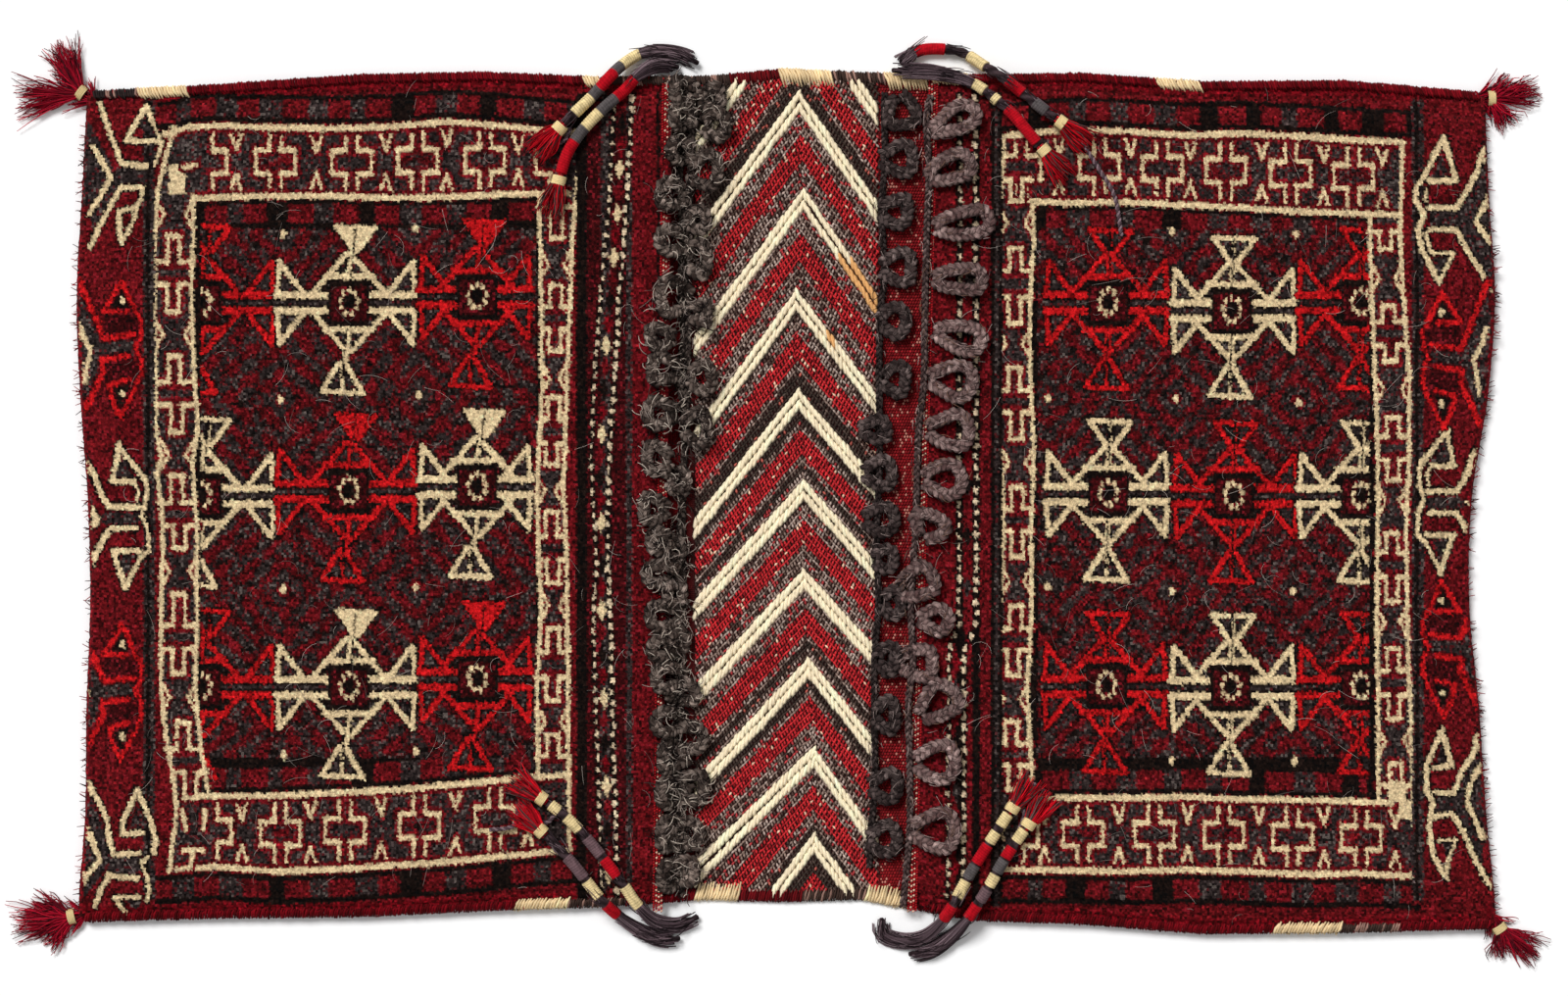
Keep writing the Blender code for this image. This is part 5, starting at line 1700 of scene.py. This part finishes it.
# Wrapped bands of each cord: share of the length where one starts and ends, and its ink
CORD_BANDS = {
    "cord_northwest_upper": [(0.36, 0.50, "cream"), (0.50, 0.58, "grey"), (0.58, 0.70, "red"),
                             (0.70, 0.78, "grey"),
                             (0.78, 0.92, "cream")],
    "cord_northwest_lower": [(0.30, 0.46, "red"), (0.46, 0.58, "grey"), (0.58, 0.70, "cream"),
                             (0.70, 0.80, "grey"),
                             (0.80, 1.0, "red")],
    "cord_northeast_upper": [(0.10, 0.26, "red"), (0.40, 0.52, "cream"), (0.66, 0.78, "red"),
                             (0.86, 0.94, "grey")],
    "cord_northeast_lower": [(0.48, 0.56, "cream"), (0.62, 0.66, "cream"), (0.72, 0.98, "red")],
    "cord_southwest_upper": [(0.34, 0.46, "cream"), (0.52, 0.62, "red"), (0.64, 0.75, "mauve"),
                             (0.80, 0.89, "cream"), (0.93, 0.98, "cream")],
    "cord_southwest_lower": [(0.40, 0.50, "red"), (0.55, 0.67, "cream"), (0.69, 0.84, "mauve")],
    "cord_southeast_upper": [(0.42, 0.51, "red"), (0.55, 0.64, "cream"), (0.65, 0.72, "grey"),
                             (0.73, 0.83, "red"),
                             (0.84, 0.90, "cream"), (0.93, 1.0, "cream")],
    "cord_southeast_lower": [(0.42, 0.51, "red"), (0.54, 0.62, "mauve"), (0.64, 0.71, "cream"),
                             (0.72, 0.80, "grey"),
                             (0.81, 0.88, "red"), (0.92, 1.0, "cream")],
}
BAND_INKS = {
    "cream": srgb(228, 204, 150), "red": srgb(180, 16, 30), "grey": srgb(88, 82, 82),
    "mauve": srgb(108, 84, 88), "core": srgb(58, 45, 48),
}
CORD_SIDES = 12
WRAPPED_STEP = 0.0007
# The core's twist and the bands' turns: length of one turn, mean radius and relief as shares of the cord's,
# and the mean brightness and swing of painted shade along each turn, lighter on its bulges and darker in its
# grooves
CORE_TWIST = (0.011, 0.86, 0.12, 0.80, 0.45)
BAND_TURNS = (0.0021, 1.12, 0.045, 0.86, 0.22)
# The bare start is drawn out thin over this length, and both ends are rounded to this share
CORE_TAPER = (0.45, 0.022)
END_SHARE = 0.55


def on_figures(x, y):
    from_fold = BAG_LENGTH / 2 - abs(x)
    return FIGURES_FROM_FOLD[0] <= from_fold <= FIGURES_FROM_FOLD[1] and abs(y) <= FIGURES_HALF_WIDTH


def support(x, y):
    """Height of what a cord rests on at a place, as in the CAD model."""
    north = 1 if y > 0 else -1
    edge = float(edge_y(x, north))
    beyond = north * (y - edge)
    if beyond > 2 * SEAT + BINDING_WIDTH:
        return 0.0
    if beyond > 0:
        return edge_thickness(x)
    t = y / abs(edge)
    for side in (-1, 1):
        if side * (x - mouth_x(t, side)) > 0:
            return face_height(x, t, side) + (SEAT + FIGURE_RISE if on_figures(x, y) else 0.0)
    return BRIDGE + SEAT + FIGURE_RISE


def rest_height(x, y, reach):
    """The highest support at a place and at eight places round it."""
    turns = [math.pi * k / 4 for k in range(8)]
    around = [(x, y)] + [(x + reach * math.cos(turn), y + reach * math.sin(turn)) for turn in turns]
    return max(support(*place) for place in around)


def smooth_route(route):
    """The cord's centreline, as in the CAD model."""
    xs = [x / 1000 for x, _ in route]
    ys = [y / 1000 for _, y in route]
    fine = []
    samples = 12 * (len(route) - 1)
    for k in range(samples + 1):
        x = catmull_rom(xs, k / samples)
        y = catmull_rom(ys, k / samples)
        fine.append(Vector((x, y, rest_height(x, y, CORD_DIAMETER / 2) + CORD_DIAMETER / 2 + SEAT)))
    walked = [0.0]
    for start, end in zip(fine, fine[1:]):
        walked.append(walked[-1] + (end - start).xy.length)
    steps = round(walked[-1] / CORD_STEP)
    step = walked[-1] / steps
    line = []
    for k in range(steps + 1):
        nearest = min(range(len(fine)), key=lambda i: abs(walked[i] - step * k))
        line.append(fine[nearest].copy())
    for _ in range(3):
        for place, needed in zip(walked, fine):
            k = min(int(place / step), steps - 1)
            share = place / step - k
            short = needed.z - (line[k].z * (1 - share) + line[k + 1].z * share)
            if short > 0:
                line[k].z += short
                line[k + 1].z += short
    return line


def wrapped_cord(name, material):
    """A twisted hair core with tight wrapped bands, as one tube that shows its turns, and its line."""
    line = curve_through(smooth_route(CORD_ROUTES[name]), WRAPPED_STEP)
    bands = []
    for share in np.arange(len(line)) / (len(line) - 1):
        bands.append(next((ink for start, end, ink in CORD_BANDS[name] if start <= share <= end), "core"))
    core = np.array([[band == "core"] for band in bands])
    walked = walk(line)[:, None]
    angle = 2 * math.pi * np.arange(CORD_SIDES) / CORD_SIDES
    turns = []
    for (length, mean, relief, bright, swing), starts in ((CORE_TWIST, 2), (BAND_TURNS, 1)):
        turn = np.cos(walked / length * 2 * math.pi + angle * starts)
        turns.append((mean + relief * turn, bright + swing * turn))
    thin = np.minimum(1.0, CORE_TAPER[0] + walked / CORE_TAPER[1])
    radius = CORD_DIAMETER / 2 * np.where(core, turns[0][0] * thin, turns[1][0])
    radius[[0, -1]] *= END_SHARE
    tone = np.exp(seeded(name).normal(0, 0.05, (len(line), 1)))
    # Painted shade along the turns, lighter on their bulges and darker in their grooves, times a random tone
    # for each ring
    shade = np.where(core, turns[0][1], turns[1][1]) * tone
    inks = np.array([BAND_INKS[band] for band in bands])
    yarns = Yarns()
    yarns.tube(line, radius, inks[:, None] * shade[..., None], sides=CORD_SIDES)
    return yarns.piece(name + "_wrapped", material), line


# Loose two-ply ends beside some cords, in units of the drawing
CORD_CURLS = {
    "cord_southwest_lower": [
        (590, 849), (572, 828), (559, 838), (544, 830), (531, 821), (525, 841), (501, 845),
    ],
    "cord_southeast_lower": [(1040, 846), (1046, 828), (1036, 812), (1052, 798), (1066, 806)],
    "cord_northeast_lower": [(1092, 128), (1104, 144), (1122, 172), (1138, 200), (1145, 240)],
    "cord_northwest_upper": [(583, 130), (578, 142), (566, 148), (552, 160)],
}
CURL_INKS = [srgb(86, 68, 74), srgb(132, 110, 116)]
CURL_RADIUS = 0.0011
STRAND_COUNT = 18
STRAND_INKS = [srgb(44, 33, 37), srgb(70, 55, 60), srgb(96, 78, 84), srgb(132, 112, 118)]
STRAND_STEPS = 16
STRAND_RADIUS = 0.0011
BUNDLE_REACH = 0.0068
# A stretch of cord with fewer points than this stays without hair
HAIR_LEAST = 10


def long_strands(yarns, part, generator):
    """Long smooth strands along a cord's start, drawn in under its first band."""
    side = sideways(np.gradient(part, axis=0))
    begin = generator.uniform(0.0, 0.22, STRAND_COUNT)
    offset = np.linspace(-1, 1, STRAND_COUNT)
    phase = generator.uniform(0, 2 * math.pi, STRAND_COUNT)
    lines = np.zeros((STRAND_COUNT, STRAND_STEPS, 3))
    for k in range(STRAND_STEPS):
        share = 1 - (1 - begin) * k / (STRAND_STEPS - 1)
        at = (share * (len(part) - 1)).astype(int)
        close = 1 - 0.55 * share ** 2
        beside = BUNDLE_REACH * offset * close + 0.0010 * np.sin(6 * share + phase) * (1 - share)
        lines[:, k] = part[at] + side[at] * beside[:, None]
        lines[:, k, 2] = part[at, 2] + 0.0042 - 0.0062 * (beside / BUNDLE_REACH) ** 2
    inks = np.array(STRAND_INKS)[generator.integers(len(STRAND_INKS), size=STRAND_COUNT)]
    yarns.hairs(lines, STRAND_RADIUS, inks, taper=0.5)


def curl(yarns, drawn, generator):
    """A loose two-ply yarn that lies on the cloth in a wavy line."""
    places = [to_metres(x, y) for x, y in drawn]
    line = curve_through([(x, y, rest_height(x, y, 0.003) + 0.0024) for x, y in places], 0.0012)
    side = sideways(np.gradient(line, axis=0))
    turn = 2 * math.pi * np.arange(len(line)) / 5
    for ply, ink in enumerate(CURL_INKS):
        path = line + side * (0.0010 * np.cos(turn + math.pi * ply))[:, None]
        path[:, 2] += 0.0008 * np.sin(turn + math.pi * ply)
        yarns.tube(path, CURL_RADIUS, np.array(ink) * math.exp(generator.normal(0, 0.08)))


def cord_hairs(name, line, material):
    """The loose hair of a cord: long strands along its bare start, short ones between its bands, a curl."""
    generator = seeded(name, 3)
    yarns = Yarns()
    last = len(line) - 1
    bare = 0.0
    for start, end in [(start, end) for start, end, _ in CORD_BANDS[name]] + [(1.0, 1.0)]:
        part = line[int(bare * last):int(start * last) + 1]
        if len(part) > HAIR_LEAST:
            lay_hairs(yarns, part, generator, LOOP_LOOKS["core"])
            if bare == 0.0:
                long_strands(yarns, part, generator)
        bare = end
    if name in CORD_CURLS:
        curl(yarns, CORD_CURLS[name], generator)
    return yarns.piece(name + "_hairs", material)


BUNDLE_STEPS = 7
BUNDLE_YARN = 0.00066


def strands(yarns, start, ahead, length, width, height, count, inks, generator, fan, wavy=0.0013):
    """A bundle of loose wavy yarns that spreads from a root and droops to rest."""
    ahead = level(ahead)
    across = sideways(ahead)
    floor = start[2] - height / 2
    side = generator.uniform(-1, 1, count)
    layer = generator.uniform(-1, 1, count) * np.sqrt(np.maximum(0.05, 1 - side ** 2))
    reach = length * generator.uniform(0.6, 1.0, count)
    wave = generator.normal(0, wavy, count)
    phase = generator.uniform(0, 2 * math.pi, count)
    bend = side * fan + generator.normal(0, fan * 0.6, count)
    lines = np.zeros((count, BUNDLE_STEPS, 3))
    for k in range(BUNDLE_STEPS):
        share = k / (BUNDLE_STEPS - 1)
        spread = 0.35 + 0.65 * min(1.0, share * 1.4) ** 0.8
        bulge = 0.40 + 0.60 * math.sin(math.pi * min(1.0, share * 0.9 + 0.1))
        offset = side * width / 2 * spread + wave * share * np.sin(6 * share + phase)
        offset = offset + bend * reach * share ** 1.5
        lines[:, k] = start + ahead * (reach * share)[:, None] + across * offset[:, None]
        z = start[2] + layer * height / 2 * bulge - 0.0015 * share * share
        lines[:, k, 2] = np.maximum(floor + 0.0004, z)
    tone = np.exp(generator.normal(0, 0.34, count))
    colours = np.array(inks)[generator.integers(len(inks), size=count)] * tone[:, None]
    yarns.hairs(lines, BUNDLE_YARN, colours, taper=0.45)


def ring_of_yarn(yarns, centre, ahead, width, height, turns, colour):
    """A few tight turns of yarn round a tassel's neck."""
    ahead = level(ahead)
    turn = np.arange(turns * 12 + 1)[:, None] / 12
    angle = 2 * math.pi * turn
    line = centre + sideways(ahead) * np.cos(angle) * width / 2 + ahead * turn * 0.0012
    line[:, 2:] += np.sin(angle) * height / 2
    yarns.tube(line, 0.0008, colour)


TASSEL_INKS = [srgb(214, 18, 34), srgb(200, 16, 32), srgb(184, 14, 30), srgb(128, 10, 22), srgb(84, 60, 58)]
# A tassel's width, height and number of yarns, and the ring's width and height at its neck
TASSEL = (0.0140, 0.0110, 120)
TASSEL_NECK = (0.0108, 0.0096)


def tassel(name, line, material):
    """A scarlet tassel at the end of a cord's line."""
    generator = seeded(name, 5)
    flat = level(line[-1] - line[-8])
    start = line[-1] + flat * SEAT
    middle = start + flat * TASSEL_LENGTH / 2
    start[2] = rest_height(middle[0], middle[1], TASSEL_LENGTH / 2) + 0.0060 + SEAT
    yarns = Yarns()
    strands(yarns, start, flat, TASSEL_LENGTH * 1.04, *TASSEL, TASSEL_INKS, generator, fan=0.11)
    ring_of_yarn(yarns, start + flat * 0.002, flat, *TASSEL_NECK, 6, np.array(BAND_INKS["cream"]))
    return yarns.piece(name + "_strands", material)


# Corner of each tuft, and direction and length of its locks
TUFT_LOCKS = {
    "tuft_northwest": (-1, 1, [(-0.43, 0.90, 0.050), (-0.62, 0.78, 0.034), (-0.98, -0.10, 0.058)]),
    "tuft_southwest": (-1, -1, [(-0.95, 0.30, 0.040), (-0.98, -0.20, 0.054), (-0.74, -0.67, 0.036)]),
    "tuft_northeast": (1, 1, [(0.98, 0.17, 0.044), (0.75, 0.60, 0.026), (0.57, -0.82, 0.032)]),
    "tuft_southeast": (1, -1, [(0.81, -0.59, 0.044), (0.16, -0.99, 0.028)]),
}
TUFT_INKS = [srgb(148, 10, 34), srgb(122, 10, 30), srgb(176, 20, 44), srgb(72, 14, 24)]
TUFT_YARNS = 1800


def corner_tuft(name, side, north, locks, material):
    """A corner tuft tied with cream yarn, its locks spread over the floor."""
    generator = seeded(name)
    yarns = Yarns()
    corner = np.array([fold_x(north, side), float(edge_y(crease_x(north, side), north)), SEAT + 0.0045])
    middle = level([sum(lock[0] for lock in locks), sum(lock[1] for lock in locks)])
    for ax, ay, length in locks:
        strands(yarns, corner + middle * 0.004, (ax, ay), length, 0.010, 0.0086, int(TUFT_YARNS * length),
                TUFT_INKS, generator, fan=0.17, wavy=0.0034)
    strands(yarns, corner - middle * 0.006, middle, 0.016, 0.0150, 0.0084, 60, TUFT_INKS, generator, fan=0.5)
    tie = np.array(BAND_INKS["cream"]) * 0.85
    ring_of_yarn(yarns, corner + middle * 0.003, middle, 0.0118, 0.0082, 5, tie)
    return yarns.piece(name + "_strands", material)


# Stray hairs, fuzz, ribs and stitches

# How many stray hairs, points in each, their least and greatest length, their radius and their ink
STRAYS = (620, 6, (0.006, 0.030), 0.00016, srgb(214, 200, 190))
STRAY_END = 0.56


def stray_hairs(material):
    """Long loose hairs that lie over the pile."""
    count, steps, lengths, radius, ink = STRAYS
    generator = np.random.default_rng(9)
    side = generator.choice([-1, 1], count)
    t = generator.uniform(-0.97, 0.97, count)
    x = np.array([mouth_x(a, b) for a, b in zip(t, side)]) + side * generator.uniform(0.004, 0.44, count)
    y = cross_y(x, t)
    aim = generator.uniform(0, 2 * math.pi, count)
    bend = generator.normal(0, 1.3, count)
    reach = generator.uniform(*lengths, count)
    lines = np.zeros((count, steps, 3))
    for k in range(steps):
        lines[:, k, 0] = np.clip(x, -STRAY_END, STRAY_END)
        lines[:, k, 1] = y
        lines[:, k, 2] = [cloth_top(a, b) + 0.0013 for a, b in zip(lines[:, k, 0], y)]
        angle = aim + bend * k / steps
        x = x + np.cos(angle) * reach / steps
        y = y + np.sin(angle) * reach / steps
    tone = generator.choice([0.3, 0.55, 0.9], count)
    yarns = Yarns()
    yarns.hairs(lines, radius, np.array(ink)[None] * tone[:, None])
    return yarns.piece("stray_hairs", material)


# How many ends of pile stand out, the share of them along the seams, their length, radius and inks
FUZZ = (1000, 0.62, (0.0016, 0.0040), 0.00045)
FUZZ_INKS = [srgb(130, 10, 22), srgb(84, 12, 18), srgb(160, 24, 38), srgb(44, 12, 14)]


def edge_fuzz(material):
    """Short ends of pile that stand out over the seams and the folds."""
    count, seam_share, lengths, radius = FUZZ
    generator = np.random.default_rng(77)
    side = generator.choice([-1, 1], count)
    along_seam = generator.random(count) < seam_share
    t = np.where(along_seam, generator.choice([-1, 1], count), generator.uniform(-1, 1, count))
    lines = np.zeros((count, 3, 3))
    for k in range(count):
        crease = crease_x(t[k], side[k])
        if along_seam[k]:
            x = mouth_x(t[k], side[k]) + (crease - mouth_x(t[k], side[k])) * generator.random()
            start = np.array([x, cross_y(x, t[k]), KILIM + PILE * generator.uniform(0.2, 1.0)])
            out = np.array([generator.normal(0, 0.5), t[k], 0.0])
        else:
            z = PILE * generator.uniform(0.3, 1.5)
            start = np.array([fold_x(t[k], side[k]), cross_y(crease, t[k]), z])
            out = np.array([side[k], generator.normal(0, 0.5), 0.0])
        out *= generator.uniform(*lengths) / np.linalg.norm(out)
        for step in range(3):
            lines[k, step] = start + out * (step - 0.5) + np.array([0.0, 0.0, 0.0006 * step])
    yarns = Yarns()
    yarns.hairs(lines, radius, np.array(FUZZ_INKS)[generator.integers(len(FUZZ_INKS), size=count)])
    return yarns.piece("edge_fuzz", material)


# The ribs' rows from south to north and the step between them, and the step of stitches in a row
RIB_ROWS = (-0.340, 0.345, 0.0025)
RIB_STEP = 0.0023
RIB_BEAD = ([0.0, 0.0015, 0.0], [0.00125, 0.0, 0.0], [0.0, 0.0, 0.0009])
RIB_INK = srgb(140, 26, 32)
PINK_RIBS = (0.14, srgb(206, 136, 120))
RIBS_START = 0.0785


def kilim_ribs(material):
    """The plain weft-faced strip between the bridge and the east mouth, a raised rib to each pass of weft."""
    generator = np.random.default_rng(53)
    centres = []
    y, end, step = RIB_ROWS
    odd = False
    while y < end:
        mouth = mouth_x(y / (BAG_WIDTH / 2), 1) - 0.0012
        xs = np.arange(RIBS_START, mouth, RIB_STEP) + (0.0011 if odd else 0.0)
        centres += [(x, y, KILIM + 0.0004) for x in xs[inside_edges(xs, y, 0.004)]]
        y += step
        odd = not odd
    count = len(centres)
    colours = np.tile(RIB_INK, (count, 1)) * np.exp(generator.normal(0, 0.25, (count, 1)))
    colours[generator.random(count) < PINK_RIBS[0]] = PINK_RIBS[1]
    yarns = Yarns()
    yarns.beads(centres, *RIB_BEAD, colours)
    return yarns.piece("east_kilim_ribs", material)


# The stitches' rows from south to north and the step between them, and their lanes and the step between these
STITCH_ROWS = (-0.338, 0.342, 0.0022)
STITCH_LANES = (4, 0.0021)
STITCH_BEAD = ([0.0006, 0.0013, 0.0], [0.0011, -0.0004, 0.0], [0.0, 0.0, 0.0012])
STITCH_INKS = (srgb(230, 182, 158), srgb(168, 26, 32))


def mouth_stitches(side, label, material):
    """The dotted cream and scarlet stitch line along a mouth's edge."""
    generator = np.random.default_rng(88 + side)
    lanes, lane_step = STITCH_LANES
    centres = []
    colours = []
    y, end, step = STITCH_ROWS
    k = 0
    while y < end:
        t = y / (BAG_WIDTH / 2)
        for lane in range(lanes):
            x = mouth_x(t, side) + side * (0.0004 + lane_step * lane)
            z = face_height(x, t, side) - (0.0010 if lane == 0 else 0.0002)
            centres.append((x, y + 0.0011 * (lane % 2), z))
            pale = (k + lane) % 2 == 0 and lane < lanes - 1 and generator.random() < 0.85
            ink = STITCH_INKS[0] if pale else STITCH_INKS[1]
            colours.append(np.array(ink) * math.exp(generator.normal(0, 0.15)))
        y += step
        k += 1
    yarns = Yarns()
    yarns.beads(centres, *STITCH_BEAD, np.array(colours))
    return yarns.piece(f"{label}_mouth_stitches", material)


# The stage

CAMERA_HEIGHT = 3.04
CAMERA_LENS = 85.0
FLOOR_HALF = 6.0
FLOOR_HEIGHT = -0.0002
SUN_ENERGY = 2.75
SUN_WIDTH = 22
SUN_TILT = (-32, -26)
SKY_STRENGTH = 0.42


def add_camera():
    """Straight down over the bag's middle; the whole view is 1.280 m across."""
    data = bpy.data.cameras.new("camera")
    data.lens = CAMERA_LENS
    data.sensor_width = 36.0
    camera = bpy.data.objects.new("camera", data)
    camera.location = (0.0, 0.0, CAMERA_HEIGHT)
    bpy.context.scene.collection.objects.link(camera)
    bpy.context.scene.camera = camera


def add_stage():
    """A pale floor, one soft lamp and a plain white sky."""
    mesh = bpy.data.meshes.new("floor")
    corners = [(-1, -1), (1, -1), (1, 1), (-1, 1)]
    points = [(x * FLOOR_HALF, y * FLOOR_HALF, FLOOR_HEIGHT) for x, y in corners]
    mesh.from_pydata(points, [], [(0, 1, 2, 3)])
    mesh.materials.append(stage_material())
    floor = bpy.data.objects.new("floor", mesh)
    bpy.context.scene.collection.objects.link(floor)

    sun = bpy.data.lights.new("key", "SUN")
    sun.energy = SUN_ENERGY
    sun.angle = math.radians(SUN_WIDTH)
    lamp = bpy.data.objects.new("key", sun)
    lamp.rotation_euler = (math.radians(SUN_TILT[0]), math.radians(SUN_TILT[1]), 0.0)
    bpy.context.scene.collection.objects.link(lamp)

    world = bpy.data.worlds.new("soft_sky")
    world.use_nodes = True
    background = world.node_tree.nodes["Background"]
    background.inputs["Color"].default_value = (1.0, 1.0, 1.0, 1.0)
    background.inputs["Strength"].default_value = SKY_STRENGTH
    bpy.context.scene.world = world
    bpy.context.scene.view_settings.view_transform = "Standard"


def matching(*starts):
    """The CAD nodes whose names start so."""
    return [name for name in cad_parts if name.startswith(starts)]


def add_cloth(yarn):
    """The woven strip: pile faces with linings and mouth stitches, the back, the bridge and its ribs."""
    pile = wool("cut_pile", speckle=0.45, grain=480.0, bump=0.7)
    weave = wool("plain_weave", speckle=0.3, grain=600.0, bump=0.6, rib=200.0)
    drawing = Drawing()
    for side in (-1, 1):
        draw_face(drawing, side)
    for side, label in ((-1, "west"), (1, "east")):
        face = pile_face(drawing, side, label, pile)
        link(face, *matching(f"{label}_border_frame", f"{label}_star"))
        lining = link(pocket_lining(side, label, weave))
        link(mouth_stitches(side, label, yarn))
    back = link(woven_back(weave), "woven_cloth")
    link(bridge_wraps(yarn), *matching("bridge_chevron"))
    link(kilim_ribs(yarn))


def add_cord(name, yarn, hair):
    """One wrapped cord with its tassel and its loose hair."""
    cord, line = wrapped_cord(name, yarn)
    link(cord, name)
    end = link(tassel(name.replace("cord", "tassel"), line, yarn), name.replace("cord", "tassel"))
    link(cord_hairs(name, line, hair))
    length = float(walk(line)[-1])


def main():
    add_camera()
    add_stage()
    yarn = wool("spun_yarn", streak=0.25, speckle=0.15, grain=1300.0, bump=0.4)
    hair = wool("plaited_hair", streak=0.55, speckle=0.2, grain=1300.0, bump=0.6, roughness=0.7)
    add_cloth(yarn)
    link(edge_binding(1, "north", yarn), "north_binding")
    link(edge_binding(-1, "south", yarn), "south_binding")
    for name in LOOP_ROWS:
        link(loop_row(name, hair), name)
    for name in CORD_ROUTES:
        add_cord(name, yarn, hair)
    for name, (side, north, locks) in TUFT_LOCKS.items():
        link(corner_tuft(name, side, north, locks, yarn), name)
    link(stray_hairs(yarn))
    link(edge_fuzz(yarn))


main()
